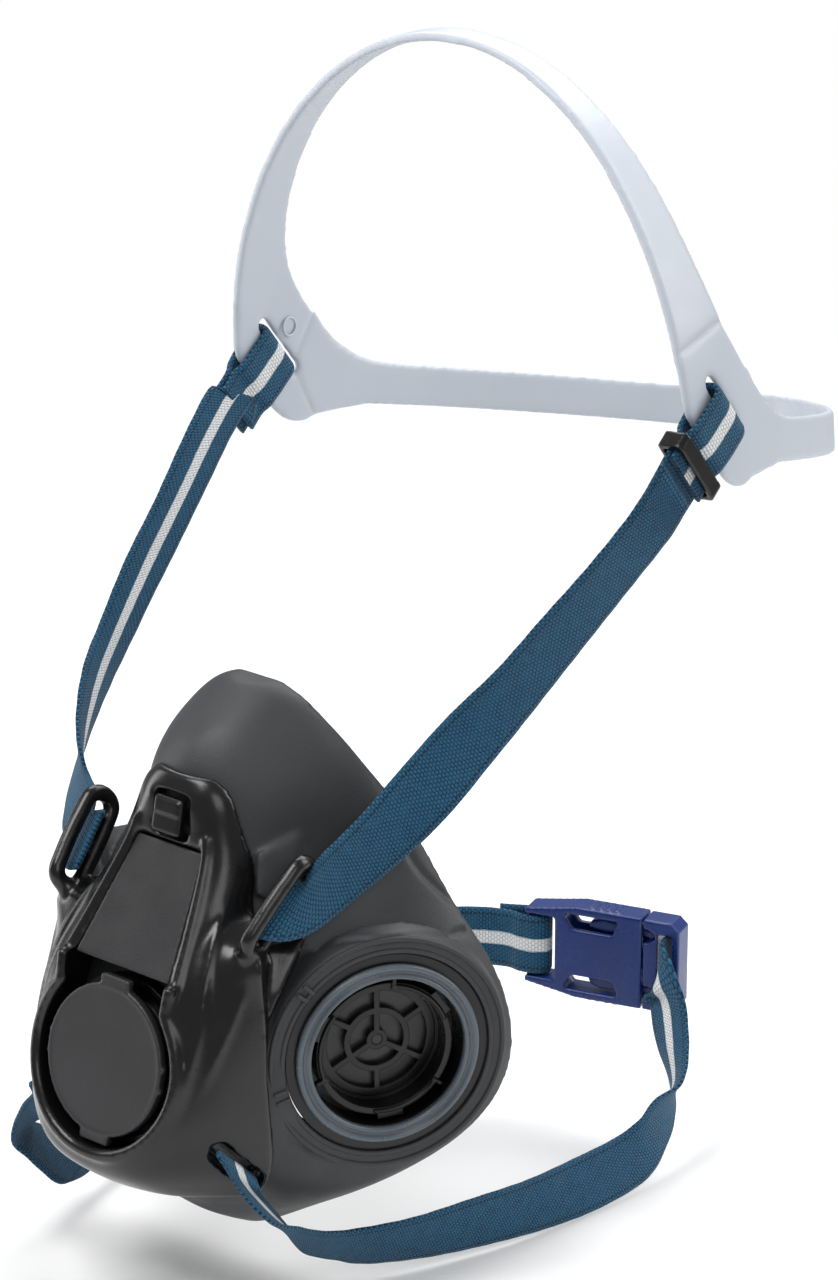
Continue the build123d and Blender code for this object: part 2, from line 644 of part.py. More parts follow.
with BuildPart() as upper_strap_left:
    rows = (loop_rows(1) + UPPER_LEFT
            + [slot_row(LUG_C, LUG_S, LUG_N, 1.6, 7.5), slot_row(LUG_C, LUG_S, LUG_N, -2.4, 7.5)])
    for plane in stations(rows):
        with BuildSketch(plane):
            Rectangle(STRAP_W, STRAP_T)
    loft(ruled=True)
upper_strap_left.part.label = "upper_strap_left"
export_step(upper_strap_left.part, "parts/upper_strap_left.step")

with BuildPart() as upper_strap_right:
    s_, n_ = mirrored(LUG_S), mirrored(LUG_N)
    rows = (loop_rows(-1) + UPPER_RIGHT
            + [slot_row(mirrored(LUG_C), s_, n_, 1.6, 7.5), slot_row(mirrored(LUG_C), s_, n_, -2.4, 7.5)])
    for plane in stations(rows):
        with BuildSketch(plane):
            Rectangle(STRAP_W, STRAP_T)
    loft(ruled=True)
upper_strap_right.part.label = "upper_strap_right"
export_step(upper_strap_right.part, "parts/upper_strap_right.step")

with BuildPart() as lower_strap_left:
    rows = [slot_row(LOW_C, tuple(-c for c in LOW_S), LOW_N, -1.2, 7.5),
            slot_row(LOW_C, tuple(-c for c in LOW_S), LOW_N, 2.0, 7.5)] + LOWER_LEFT
    rows += [buckle_row(33.0, 5.4, -1), buckle_row(33.0, -1.0, -1)]
    for plane in stations(rows):
        with BuildSketch(plane):
            Rectangle(STRAP_W, STRAP_T)
    loft(ruled=True)
lower_strap_left.part.label = "lower_strap_left"
export_step(lower_strap_left.part, "parts/lower_strap_left.step")

with BuildPart() as lower_strap_right:
    s_, n_ = mirrored(tuple(-c for c in LOW_S)), mirrored(LOW_N)
    rows = [slot_row(mirrored(LOW_C), s_, n_, -1.2, 7.5),
            slot_row(mirrored(LOW_C), s_, n_, 2.0, 7.5)] + LOWER_RIGHT
    rows += [buckle_row(-9.0, 1.7), buckle_row(-4.5, 2.8), buckle_row(-1.2, 2.8),
             buckle_row(1.2, 1.7), buckle_row(1.9, 0.0), buckle_row(1.2, -1.7),
             buckle_row(-1.2, -2.8), buckle_row(-4.5, -2.8), buckle_row(-11.5, -1.0)]
    for plane in stations(rows):
        with BuildSketch(plane):
            Rectangle(STRAP_W, STRAP_T)
    loft(ruled=True)
lower_strap_right.part.label = "lower_strap_right"
export_step(lower_strap_right.part, "parts/lower_strap_right.step")
for s in (upper_strap_left, upper_strap_right, lower_strap_left, lower_strap_right):
    print("strap", s.part.volume, len(s.part.solids()), s.part.is_valid)

# ---------------------------------------------------------------- strap slider
# a flat slide round both layers of the wearer's left upper strap
SLIDER_C = tuple((a + b) / 2 for a, b in zip(*cradle_row(1, 17.0, CR_A - CR_T / 2)))
sw = unit(minus(cradle_row(1, 16, 60)[1], cradle_row(1, 16, 60)[0]))
SLIDER_RUN = unit(minus(cradle_row(1, 17, 60)[0], cradle_row(1, 16, 60)[0]))
SLIDER = Plane(origin=SLIDER_C, x_dir=sw, z_dir=square_to(SLIDER_RUN, sw))
with BuildPart() as strap_slider:
    with BuildSketch(SLIDER.offset(-2.0)):
        RectangleRounded(19.0, 6.8, 1.4)
        Rectangle(15.9, 4.1, mode=Mode.SUBTRACT)
    extrude(amount=4.0)
strap_slider.part.label = "strap_slider"
export_step(strap_slider.part, "parts/strap_slider.step")

# ---------------------------------------------------------------- buckle
BK = Plane(origin=BUCKLE_O, x_dir=BK_L, z_dir=BK_N)
BK_HT = 3.4             # half thickness
BK_HW = 11.8            # half width
PRONG_ROOT = (29.6, 7.4)

with BuildPart() as buckle_female:
    with BuildSketch(BK.offset(-BK_HT)):
        with BuildLine():
            Polyline((-3.2, -9.6), (5.5, -11.0), (10, -BK_HW), (27.0, -BK_HW), (27.0, BK_HW),
                     (10, BK_HW), (5.5, 11.0), (-3.2, 9.6), close=True)
        make_face()
    extrude(amount=2 * BK_HT)
    # strap opening
    with BuildSketch(BK.offset(-8)):
        with Locations((1.9, 0)):
            RectangleRounded(5.4, 16.6, 0.8)
    extrude(amount=16, mode=Mode.SUBTRACT)
    # thin the strap bar
    for t in (1.6, -8.0):
        with BuildSketch(BK.offset(t)):
            with Locations((-1.4, 0)):
                Rectangle(6.0, 16.6)
        extrude(amount=6.4, mode=Mode.SUBTRACT)
    # cavity that takes the male half
    with BuildSketch(BK.offset(-1.9)):
        with Locations((19.5, 0)):
            Rectangle(25, 2 * (BK_HW - 1.9))
    extrude(amount=3.8, mode=Mode.SUBTRACT)
    # side windows
    with BuildSketch(BK.offset(-8)):
        for k in (1, -1):
            with BuildLine():
                Polyline((7.0, k * 8.8), (9.0, k * 6.0), (19.5, k * 6.0), (21.0, k * 9.9),
                         (7.4, k * 9.9), close=True)
            make_face()
    extrude(amount=16, mode=Mode.SUBTRACT)
    # grip ridges on the rails
    for k in (1, -1):
        for x in (13.5, 15.7, 17.9, 20.1):
            with BuildSketch(BK.offset(-2.6)):
                with Locations((x, k * BK_HW)):
                    Rectangle(1.0, 1.0)
            extrude(amount=5.2)
buckle_female.part.label = "buckle_female"
export_step(buckle_female.part, "parts/buckle_female.step")

with BuildPart() as buckle_male:
    with BuildSketch(BK.offset(-BK_HT + 0.1)):
        with BuildLine():
            Polyline((27.4, -BK_HW + 0.1), (34.5, -BK_HW + 0.1), (36.6, -BK_HW + 2), (36.6, BK_HW - 2),
                     (34.5, BK_HW - 0.1), (27.4, BK_HW - 0.1), close=True)
        make_face()
    extrude(amount=2 * BK_HT - 0.2)
    with BuildSketch(BK.offset(-1.6)):
        with Locations((19.5, 0)):
            Rectangle(17, 4.4)
    extrude(amount=3.2)
    with BuildSketch(BK.offset(-8)):
        with Locations((33.0, 0)):
            RectangleRounded(3.8, 16.6, 0.7)
    extrude(amount=16, mode=Mode.SUBTRACT)
    # sockets for the roots of the prongs
    with BuildSketch(BK.offset(-8)):
        for k in (1, -1):
            with Locations((PRONG_ROOT[0] - 0.6, k * PRONG_ROOT[1])):
                Circle(PRONG_PIN_R + PIN_GAP)
            with Locations((PRONG_ROOT[0] - 0.6 - 3, k * PRONG_ROOT[1])):
                Rectangle(6, 3.6)
    extrude(amount=16, mode=Mode.SUBTRACT)
buckle_male.part.label = "buckle_male"
export_step(buckle_male.part, "parts/buckle_male.step")

with BuildPart() as buckle_prong_upper:
    with BuildSketch(BK.offset(-1.6)):
        with Locations((PRONG_ROOT[0] - 0.6, PRONG_ROOT[1])):
            Circle(PRONG_PIN_R)
        with BuildLine():
            Polyline((PRONG_ROOT[0] - 0.6, 8.3), (16.5, 9.2), (13.4, 8.4), (12.6, 6.6), (16.5, 6.0),
                     (PRONG_ROOT[0] - 0.6, 6.5), close=True)
        make_face()
    extrude(amount=3.2)
buckle_prong_upper.part.label = "buckle_prong_upper"
export_step(buckle_prong_upper.part, "parts/buckle_prong_upper.step")

with BuildPart() as buckle_prong_lower:
    with BuildSketch(BK.offset(-1.6)):
        with Locations((PRONG_ROOT[0] - 0.6, -PRONG_ROOT[1])):
            Circle(PRONG_PIN_R)
        with BuildLine():
            Polyline((PRONG_ROOT[0] - 0.6, -8.3), (16.5, -9.2), (13.4, -8.4), (12.6, -6.6),
                     (16.5, -6.0), (PRONG_ROOT[0] - 0.6, -6.5), close=True)
        make_face()
    extrude(amount=3.2)
buckle_prong_lower.part.label = "buckle_prong_lower"
export_step(buckle_prong_lower.part, "parts/buckle_prong_lower.step")

# the frame data of every joint
print("PORT_N", PORT_N, "EXH_N", EXH_N, "BUTTON_N", BUTTON_N)
print("slider", SLIDER_C, SLIDER_RUN)
for k in (1, -1):
    p = BK.from_local_coords((PRONG_ROOT[0] - 0.6, k * PRONG_ROOT[1], 0))
    print("prong pin", k, p, BK_L, BK_N)
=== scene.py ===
import json
import math
import bpy
import numpy as np
from mathutils import Matrix, Vector

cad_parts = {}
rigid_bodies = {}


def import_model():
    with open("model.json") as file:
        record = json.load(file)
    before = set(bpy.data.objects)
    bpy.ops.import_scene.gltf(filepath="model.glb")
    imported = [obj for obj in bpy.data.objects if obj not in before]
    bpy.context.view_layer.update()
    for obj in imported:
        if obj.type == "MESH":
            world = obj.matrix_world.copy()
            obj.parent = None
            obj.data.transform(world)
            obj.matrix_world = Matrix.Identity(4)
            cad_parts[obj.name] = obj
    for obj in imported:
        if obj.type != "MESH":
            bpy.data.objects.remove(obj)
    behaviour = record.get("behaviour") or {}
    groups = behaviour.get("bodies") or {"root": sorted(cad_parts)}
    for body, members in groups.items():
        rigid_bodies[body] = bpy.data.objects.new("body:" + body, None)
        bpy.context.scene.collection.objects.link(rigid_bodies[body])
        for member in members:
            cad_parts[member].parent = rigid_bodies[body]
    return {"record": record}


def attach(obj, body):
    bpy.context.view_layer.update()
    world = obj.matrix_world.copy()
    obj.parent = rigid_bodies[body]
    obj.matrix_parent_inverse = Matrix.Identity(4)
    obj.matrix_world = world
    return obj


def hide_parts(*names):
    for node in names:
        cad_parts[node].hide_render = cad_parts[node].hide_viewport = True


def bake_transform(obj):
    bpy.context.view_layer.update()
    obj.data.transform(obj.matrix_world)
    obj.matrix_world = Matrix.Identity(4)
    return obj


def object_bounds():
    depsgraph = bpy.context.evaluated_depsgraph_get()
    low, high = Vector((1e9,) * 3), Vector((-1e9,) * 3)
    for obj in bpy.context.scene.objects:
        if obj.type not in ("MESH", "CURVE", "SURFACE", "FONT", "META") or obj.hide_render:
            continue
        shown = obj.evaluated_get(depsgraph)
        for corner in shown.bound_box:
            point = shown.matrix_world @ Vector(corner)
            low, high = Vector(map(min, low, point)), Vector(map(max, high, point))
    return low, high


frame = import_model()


def flat_box(b):
    return [[float(c) for c in p] for p in b]


cad_box = flat_box(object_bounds())
MM = 0.001
BODY = {n: b for b, ns in frame["record"]["behaviour"]["bodies"].items() for n in ns}
scene = bpy.context.scene

# ------------------------------------------------------------------ camera
A, E = math.radians(41.0), math.radians(20.0)
right = Vector((math.cos(A), math.sin(A), 0))
look = Vector((-math.sin(A) * math.cos(E), math.cos(A) * math.cos(E), -math.sin(E)))
up = right.cross(look)
cam = bpy.data.objects.new("camera", bpy.data.cameras.new("camera"))
scene.collection.objects.link(cam)
cam.data.lens = 129.375
cam.data.sensor_width = 36
cam.data.clip_start = 0.05
rot = Matrix((right, up, -look)).transposed().to_4x4()
cam.matrix_world = Matrix.Translation((0.6478, -0.7106, 0.4128)) @ rot
scene.camera = cam
scene.view_settings.view_transform = "Standard"

# ------------------------------------------------------------------ stage
centre = Vector((0, 0.03, 0.03))


def area(name, offset, size, power, tint=(1, 1, 1), aim=None):
    light = bpy.data.lights.new(name, "AREA")
    light.shape = "RECTANGLE"
    light.size, light.size_y = size
    light.energy = power
    light.color = tint
    ob = bpy.data.objects.new(name, light)
    scene.collection.objects.link(ob)
    x, y, z = offset
    ob.location = centre + right * x + up * y - look * z
    ob.rotation_euler = ((aim or centre) - ob.location).to_track_quat("-Z", "Y").to_euler()
    return ob


area("key", (-0.50, 0.80, 0.55), (0.55, 0.55), 8.5)
area("side", (0.95, 0.55, 0.10), (0.35, 0.9), 6.0)
area("top", (0.15, 1.0, -0.35), (1.1, 0.5), 8.5)
area("rim", (-0.85, 0.15, -0.25), (0.25, 0.9), 3.0)
area("front", (0.25, 0.25, 1.1), (0.5, 0.5), 2.2)

world = bpy.data.worlds.new("studio")
scene.world = world
world.use_nodes = True
wt = world.node_tree
back = wt.nodes["Background"]
back.inputs[0].default_value = (1, 1, 1, 1)
sky = wt.nodes.new("ShaderNodeMapRange")
lp = wt.nodes.new("ShaderNodeLightPath")
wt.links.new(lp.outputs["Is Camera Ray"], sky.inputs[0])
sky.inputs[3].default_value = 0.34
sky.inputs[4].default_value = 1.0
wt.links.new(sky.outputs[0], back.inputs[1])


# ------------------------------------------------------------------ materials
class Graph:
    """A small wrapper that builds node materials."""

    def __init__(self, name, **sockets):
        self.m = bpy.data.materials.new(name)
        self.m.use_nodes = True
        self.t = self.m.node_tree
        self.p = self.t.nodes["Principled BSDF"]
        for k, v in sockets.items():
            self.p.inputs[k.replace("_", " ")].default_value = v

    def node(self, kind, props=(), **ins):
        n = self.t.nodes.new(kind)
        for k, v in dict(props).items():
            setattr(n, k, v)
        for k, v in ins.items():
            k = int(k[1:]) if k[0] == "i" and k[1:].isdigit() else k.replace("_", " ")
            if isinstance(v, bpy.types.NodeSocket):
                self.t.links.new(v, n.inputs[k])
            else:
                n.inputs[k].default_value = v
        return n

    def math(self, op, a, b=0.0, c=0.0):
        return self.node("ShaderNodeMath", {"operation": op}, i0=a, i1=b, i2=c).outputs[0]

    def coord(self):
        return self.node("ShaderNodeTexCoord").outputs["Object"]

    def noise(self, scale, detail=3.0, rough=0.5, vec=None):
        return self.node("ShaderNodeTexNoise", Vector=vec or self.coord(), Scale=scale,
                         Detail=detail, Roughness=rough).outputs["Fac"]

    def ramp(self, fac, stops):
        n = self.node("ShaderNodeValToRGB", Fac=fac)
        while len(n.color_ramp.elements) < len(stops):
            n.color_ramp.elements.new(0.5)
        for e, (p, c) in zip(n.color_ramp.elements, stops):
            e.position = p
            e.color = (*c, 1) if len(c) == 3 else c
        return n.outputs[0]

    def remap(self, v, a, b, c, d):
        n = self.node("ShaderNodeMapRange", i0=v, i1=a, i2=b, i3=c, i4=d)
        return n.outputs[0]

    def mix(self, fac, a, b):
        n = self.node("ShaderNodeMix", {"data_type": "RGBA"})
        for i, v in ((0, fac), (6, a), (7, b)):
            if isinstance(v, bpy.types.NodeSocket):
                self.t.links.new(v, n.inputs[i])
            else:
                n.inputs[i].default_value = v if i == 0 else (*v, 1)
        return n.outputs[2]

    def bump(self, height, strength, dist, normal=None, radius=None):
        n = self.node("ShaderNodeBump", Height=height, Strength=strength, Distance=dist)
        if normal is not None:
            self.t.links.new(normal, n.inputs["Normal"])
        return n.outputs[0]

    def set(self, **links):
        for k, v in links.items():
            self.t.links.new(v, self.p.inputs[k.replace("_", " ")])
        return self.m


def soft_edge(g, radius):
    return g.node("ShaderNodeBevel", {"samples": 4}, Radius=radius).outputs[0]


def plastic(name, dark, light, rough, grain=0.12, scale=2600.0, edge=0.0005, spec=0.5, **kw):
    g = Graph(name, **{"Specular IOR Level": spec}, **kw)
    big = g.noise(38.0, 3.0)
    fine = g.noise(scale, 2.0)
    col = g.ramp(big, [(0.3, dark), (0.7, light)])
    rgh = g.remap(g.noise(120.0, 4.0), 0.3, 0.7, rough - 0.05, rough + 0.06)
    nrm = g.bump(fine, grain, 0.0002, soft_edge(g, edge) if edge else None)
    return g.set(Base_Color=col, Roughness=rgh, Normal=nrm)


ELASTOMER = plastic("elastomer", (0.027, 0.0285, 0.0315), (0.033, 0.0345, 0.038), 0.50,
                    grain=0.25, scale=1900.0, edge=0.0006, spec=0.42)
BOSS = plastic("elastomer_boss", (0.024, 0.025, 0.027), (0.029, 0.030, 0.032), 0.42,
               grain=0.15, scale=1900.0, edge=0.0004, spec=0.45)
NYLON = plastic("nylon", (0.0030, 0.0030, 0.0031), (0.0050, 0.0050, 0.0052), 0.23,
                grain=0.08, scale=2200.0, edge=0.0006, spec=0.46)
NYLON_MATT = plastic("nylon_matt", (0.018, 0.018, 0.0195), (0.024, 0.024, 0.0265), 0.38,
                     grain=0.2, scale=2600.0, edge=0.0005, spec=0.45)
# painted shade: a darker, duller copy of the black nylon for the parts set deep in the filter ports and the valve
# housing
NYLON_RECESS_SHADE = plastic("nylon_painted_recess_shade", (0.0022, 0.0022, 0.0024), (0.0042, 0.0042, 0.0045), 0.30,
                     grain=0.10, scale=2400.0, edge=0.0004, spec=0.4)
SILICONE = plastic("silicone_ring", (0.070, 0.090, 0.108), (0.092, 0.114, 0.134), 0.27,
                   grain=0.08, scale=1500.0, edge=0.0004, spec=0.5)
FLAP = plastic("silicone_flap", (0.008, 0.0085, 0.009), (0.012, 0.0125, 0.013), 0.35,
               grain=0.08, scale=1500.0, edge=0.0003)
BLUE = plastic("buckle_blue", (0.0055, 0.022, 0.125), (0.0080, 0.030, 0.165), 0.28,
               grain=0.10, scale=2200.0, edge=0.0005, spec=0.5,
               **{"Subsurface Weight": 0.15, "Subsurface Scale": 0.002})


def cradle_material():
    g = Graph("cradle_plastic", **{"IOR": 1.46,
                                   "Specular IOR Level": 0.45})
    big = g.noise(22.0, 4.0)
    col = g.ramp(big, [(0.25, (0.490, 0.530, 0.588)), (0.75, (0.530, 0.570, 0.628))])
    rgh = g.remap(g.noise(90.0, 3.0), 0.3, 0.7, 0.30, 0.42)
    nrm = g.bump(g.noise(1300.0, 2.0), 0.06, 0.0002)
    return g.set(Base_Color=col, Roughness=rgh, Normal=nrm)


CRADLE = cradle_material()


def webbing(name, stripe):
    """Woven elastic: UV.x is millimetres across the webbing, UV.y millimetres along it."""
    g = Graph(name, **{"Sheen Weight": 0.10, "Sheen Roughness": 0.5, "Specular IOR Level": 0.18})
    uv = g.node("ShaderNodeUVMap").outputs[0]
    sep = g.node("ShaderNodeSeparateXYZ", Vector=uv)
    u, v = sep.outputs[0], sep.outputs[1]
    wob = g.noise(420.0, 2.0)
    row = g.math("FLOOR", g.math("DIVIDE", v, 0.74))
    shift = g.math("MULTIPLY", g.math("MODULO", row, 2.0), 0.5)
    cu = g.math("ABSOLUTE", g.math("SUBTRACT", g.math("FRACT", g.math(
        "ADD", g.math("DIVIDE", u, 1.07), shift)), 0.5))
    cv = g.math("ABSOLUTE", g.math("SUBTRACT", g.math("FRACT", g.math("DIVIDE", v, 0.74)), 0.5))
    lump = g.math("SUBTRACT", 1.0, g.math("ADD", g.math("MULTIPLY", g.math("MULTIPLY", cu, cu), 2.2),
                                          g.math("MULTIPLY", g.math("MULTIPLY", cv, cv), 1.9)))
    edge = g.math("ABSOLUTE", g.math("SUBTRACT", u, 7.5))
    # painted shade: the teal falls almost to black in the valleys between the weave's lumps
    teal = g.mix(g.remap(lump, 0.42, 0.74, 0.0, 1.0), (0.0006, 0.0070, 0.018), (0.0125, 0.094, 0.185))
    teal = g.mix(g.remap(wob, 0.35, 0.7, 0.0, 0.35), teal, (0.016, 0.105, 0.200))
    # stitch row just inside each selvedge
    dots = g.math("LESS_THAN", g.math("ABSOLUTE", g.math("SUBTRACT", edge, 6.15)), 0.28)
    dash = g.math("GREATER_THAN", g.math("FRACT", g.math("DIVIDE", v, 1.05)), 0.38)
    teal = g.mix(g.math("MULTIPLY", g.math("MULTIPLY", dots, dash), 0.8), teal, (0.003, 0.014, 0.026))
    height = lump
    if stripe:
        ragged = g.math("ADD", edge, g.math("MULTIPLY", g.math("SUBTRACT", wob, 0.5), 0.35))
        band = g.math("LESS_THAN", ragged, 1.75)
        # painted shade: the pale stripe turns grey in the valleys between the weave's lumps
        pale = g.mix(g.remap(lump, 0.1, 0.85, 0.0, 1.0), (0.36, 0.38, 0.40), (0.80, 0.81, 0.82))
        fine = g.math("GREATER_THAN", g.math("ABSOLUTE", g.math("SUBTRACT", edge, 1.62)), 0.10)
        pale = g.mix(fine, (0.30, 0.36, 0.40), pale)
        teal = g.mix(band, teal, pale)
        height = g.math("ADD", lump, g.math("MULTIPLY", band, 0.5))
    nrm = g.bump(g.math("ADD", height, g.math("MULTIPLY", g.noise(5200.0, 2.0), 0.35)), 0.95, 0.00030)
    rgh = g.remap(lump, 0.0, 1.0, 0.80, 0.60)
    return g.set(Base_Color=teal, Roughness=rgh, Normal=nrm)


WEB_PLAIN = webbing("webbing_plain", False)
WEB_STRIPE = webbing("webbing_stripe", True)

THREAD = plastic("bar_tack_thread", (0.004, 0.020, 0.036), (0.008, 0.034, 0.058), 0.7,
                 grain=0.6, scale=2600.0, edge=0.0, spec=0.2)


def floor_material():
    """Plain pale paper that thins out to nothing well away from the object."""
    g = Graph("floor_paper", **{"Specular IOR Level": 0.1})
    col = g.ramp(g.noise(3.0, 2.0), [(0.3, (0.86, 0.86, 0.86)), (0.7, (0.88, 0.88, 0.88))])
    rgh = g.remap(g.noise(30.0, 2.0), 0.3, 0.7, 0.85, 0.95)
    far = g.node("ShaderNodeVectorMath", {"operation": "LENGTH"}, i0=g.coord()).outputs["Value"]
    return g.set(Base_Color=col, Roughness=rgh, Alpha=g.remap(far, 0.22, 0.75, 1.0, 0.0))


floor_z = cad_box[0][2] - 0.0006
me = bpy.data.meshes.new("floor")
S = 0.9
me.from_pydata([(-S, -S, floor_z), (S, -S, floor_z), (S, S, floor_z), (-S, S, floor_z)], [], [(0, 1, 2, 3)])
floor = bpy.data.objects.new("floor", me)
scene.collection.objects.link(floor)
me.materials.append(floor_material())


# ------------------------------------------------------------------ mesh helpers
def unit(v):
    v = np.asarray(v, float)
    return v / np.linalg.norm(v)


def make(name, verts, faces, mats, body, smooth=True, index=None, uvs=None):
    me = bpy.data.meshes.new(name)
    me.from_pydata([tuple(float(c) * MM for c in v) for v in verts], [], [tuple(int(i) for i in f) for f in faces])
    me.update()
    ob = bpy.data.objects.new(name, me)
    scene.collection.objects.link(ob)
    for m in mats if isinstance(mats, (list, tuple)) else [mats]:
        me.materials.append(m)
    if smooth:
        me.polygons.foreach_set("use_smooth", [True] * len(me.polygons))
    if index is not None:
        me.polygons.foreach_set("material_index", index)
    if uvs is not None:
        layer = me.uv_layers.new(name="UVMap")
        for poly, corner in zip(me.polygons, uvs):
            for k, li in enumerate(poly.loop_indices):
                layer.data[li].uv = corner[k]
    if body:
        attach(ob, body)
    return ob


def cad_mesh(node):
    me = next(o for o in bpy.data.objects if o.name == node and o.type == "MESH").data
    co = np.zeros(len(me.vertices) * 3)
    me.vertices.foreach_get("co", co)
    return co.reshape(-1, 3) / MM, [tuple(p.vertices) for p in me.polygons]


def merge(*meshes):
    vs, fs, k = [], [], 0
    for v, f in meshes:
        vs.append(np.asarray(v, float))
        fs += [tuple(i + k for i in t) for t in f]
        k += len(v)
    return np.concatenate(vs), fs


def frames(points):
    """Tangent, side and top directions that turn as little as they can along a line."""
    p = np.asarray(points, float)
    t = np.gradient(p, axis=0)
    t /= np.linalg.norm(t, axis=1)[:, None]
    side = np.cross(t[0], (0, 0, 1.0) if abs(t[0][2]) < 0.9 else (1.0, 0, 0))
    out = []
    for d in t:
        side = side - d * (side @ d)
        side = side / np.linalg.norm(side)
        out.append((d, side, np.cross(d, side)))
    return p, out


def spline(points, n, closed=False):
    """Catmull-Rom through the points, n samples to a span."""
    p = np.asarray(points, float)
    if closed:
        q = np.concatenate([p[-1:], p, p[:2]])
        spans = len(p)
    else:
        q = np.concatenate([2 * p[:1] - p[1:2], p, 2 * p[-1:] - p[-2:-1]])
        spans = len(p) - 1
    out = []
    for i in range(spans):
        a, b, c, d = q[i], q[i + 1], q[i + 2], q[i + 3]
        for s in range(n):
            t = s / n
            out.append(0.5 * (2 * b + (c - a) * t + (2 * a - 5 * b + 4 * c - d) * t * t
                              + (3 * b - a - 3 * c + d) * t ** 3))
    if not closed:
        out.append(p[-1])
    return np.array(out)


def tube(points, r, closed=False, n=14, flat=1.0, ends=None):
    """A rounded bar along a line; r is one radius or one a point."""
    p = np.asarray(points, float)
    rr = np.full(len(p), float(r)) if np.isscalar(r) else np.asarray(r, float)
    if closed:
        q = np.concatenate([p, p[:1]])
        _, fr = frames(np.concatenate([p[-1:], q, p[1:2]]))
        fr = fr[1:-2]
    else:
        _, fr = frames(p)
    v, f = [], []
    for c, (d, s, u_), k in zip(p, fr, rr):
        for j in range(n):
            a = 2 * math.pi * j / n
            v.append(c + s * math.cos(a) * k + u_ * math.sin(a) * k * flat)
    m = len(p)
    for i in range(m if closed else m - 1):
        for j in range(n):
            a, b = i * n + j, i * n + (j + 1) % n
            c, d = ((i + 1) % m) * n + (j + 1) % n, ((i + 1) % m) * n + j
            f.append((a, b, c, d))
    if not closed:
        f.append(tuple(range(n))[::-1])
        f.append(tuple((m - 1) * n + j for j in range(n)))
    return np.array(v), f


def block(o, x, y, z, lx, ly, lz):
    """A box centred on o with its sides along x, y and z."""
    o, x, y, z = (np.asarray(c, float) for c in (o, x, y, z))
    v = [o + x * lx * a / 2 + y * ly * b / 2 + z * lz * c / 2
         for a, b, c in ((-1, -1, -1), (1, -1, -1), (1, 1, -1), (-1, 1, -1),
                         (-1, -1, 1), (1, -1, 1), (1, 1, 1), (-1, 1, 1))]
    return np.array(v), [(3, 2, 1, 0), (4, 5, 6, 7), (0, 1, 5, 4), (1, 2, 6, 5), (2, 3, 7, 6), (3, 0, 4, 7)]


def lathe(o, n, x, profile, steps=96, closed=True):
    """A turned ring: profile is (radius, height along n)."""
    o, n, x = np.asarray(o, float), unit(n), np.asarray(x, float)
    x = unit(x - n * (x @ n))
    y = np.cross(n, x)
    v, f = [], []
    m = len(profile)
    for i in range(steps):
        a = 2 * math.pi * i / steps
        for r, h in profile:
            v.append(o + n * h + (x * math.cos(a) + y * math.sin(a)) * r)
    for i in range(steps):
        for j in range(m if closed else m - 1):
            k = (j + 1) % m
            a, b = i * m + j, i * m + k
            c, d = ((i + 1) % steps) * m + k, ((i + 1) % steps) * m + j
            f.append((a, d, c, b))
    return np.array(v), f


def fused(name, parts, voxel, smooth, mats, body, sculpt=None, post=2):
    """Joins parts into one skin with softened edges, as a moulding has."""
    v, f = merge(*parts)
    ob = make(name, v, f, mats, None)
    r = ob.modifiers.new("skin", "REMESH")
    r.mode = "VOXEL"
    r.voxel_size = voxel * MM
    r.use_smooth_shade = True
    s = ob.modifiers.new("soft", "SMOOTH")
    s.factor = 0.5
    s.iterations = smooth
    dg = bpy.context.evaluated_depsgraph_get()
    me = bpy.data.meshes.new_from_object(ob.evaluated_get(dg), depsgraph=dg)
    old = ob.data
    ob.modifiers.clear()
    ob.data = me
    bpy.data.meshes.remove(old)
    me.name = name
    if sculpt is not None:
        co = np.zeros(len(me.vertices) * 3)
        no = np.zeros(len(me.vertices) * 3)
        me.vertices.foreach_get("co", co)
        me.vertices.foreach_get("normal", no)
        co, no = co.reshape(-1, 3) / MM, no.reshape(-1, 3)
        co = sculpt(co, no)
        me.vertices.foreach_set("co", (co * MM).reshape(-1))
        me.update()
        if post:
            s = ob.modifiers.new("soft", "SMOOTH")
            s.factor = 0.5
            s.iterations = post
            dg = bpy.context.evaluated_depsgraph_get()
            dg.update()
            me = bpy.data.meshes.new_from_object(ob.evaluated_get(dg), depsgraph=dg)
            ob.modifiers.clear()
            ob.data = me
    me.polygons.foreach_set("use_smooth", [True] * len(me.polygons))
    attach(ob, body)
    return ob


def reach(co, line):
    """Distance of every point from a line of points."""
    line = np.asarray(line, float)
    best = np.full(len(co), 1e9)
    for a, b in zip(line[:-1], line[1:]):
        d = b - a
        t = np.clip(((co - a) @ d) / (d @ d), 0, 1)
        best = np.minimum(best, np.linalg.norm(co - a - t[:, None] * d, axis=1))
    return best


# ------------------------------------------------------------------ common places
PORT_N = {1: np.array((math.sin(math.radians(60)), -0.5, 0)), -1: np.array((-math.sin(math.radians(60)), -0.5, 0))}
PORT_C = {1: np.array((45.0, -27.0, -15.2)), -1: np.array((-45.0, -27.0, -15.2))}
PORT_U = {1: np.array((0.5, math.sin(math.radians(60)), 0)), -1: np.array((-0.5, math.sin(math.radians(60)), 0))}
UP = np.array((0, 0, 1.0))
ea = math.radians(12.9)
EXH_N = np.array((0, -math.cos(ea), math.sin(ea)))
EXH_V = np.array((0, math.sin(ea), math.cos(ea)))
EXH_C = np.array((0, -70.0, -15.0))
XX = np.array((1.0, 0, 0))


def square_to(n, s):
    n, s = np.asarray(n, float), unit(s)
    return unit(n - s * (n @ s))


def mirrored(v):
    return np.array((-v[0], v[1], v[2]))


LUG_C = np.array((29.3, -45.2, 21.2))
LUG_S = unit((0.11, 0.7, 0.7))
LUG_N = square_to((0.955, 0.12, -0.27), LUG_S)
LOW_C = np.array((28.6, -58.2, -36.4))
LOW_S = unit((0.11, 0.7, -0.7))
LOW_N = square_to((0.80, -0.50, -0.374), LOW_S)

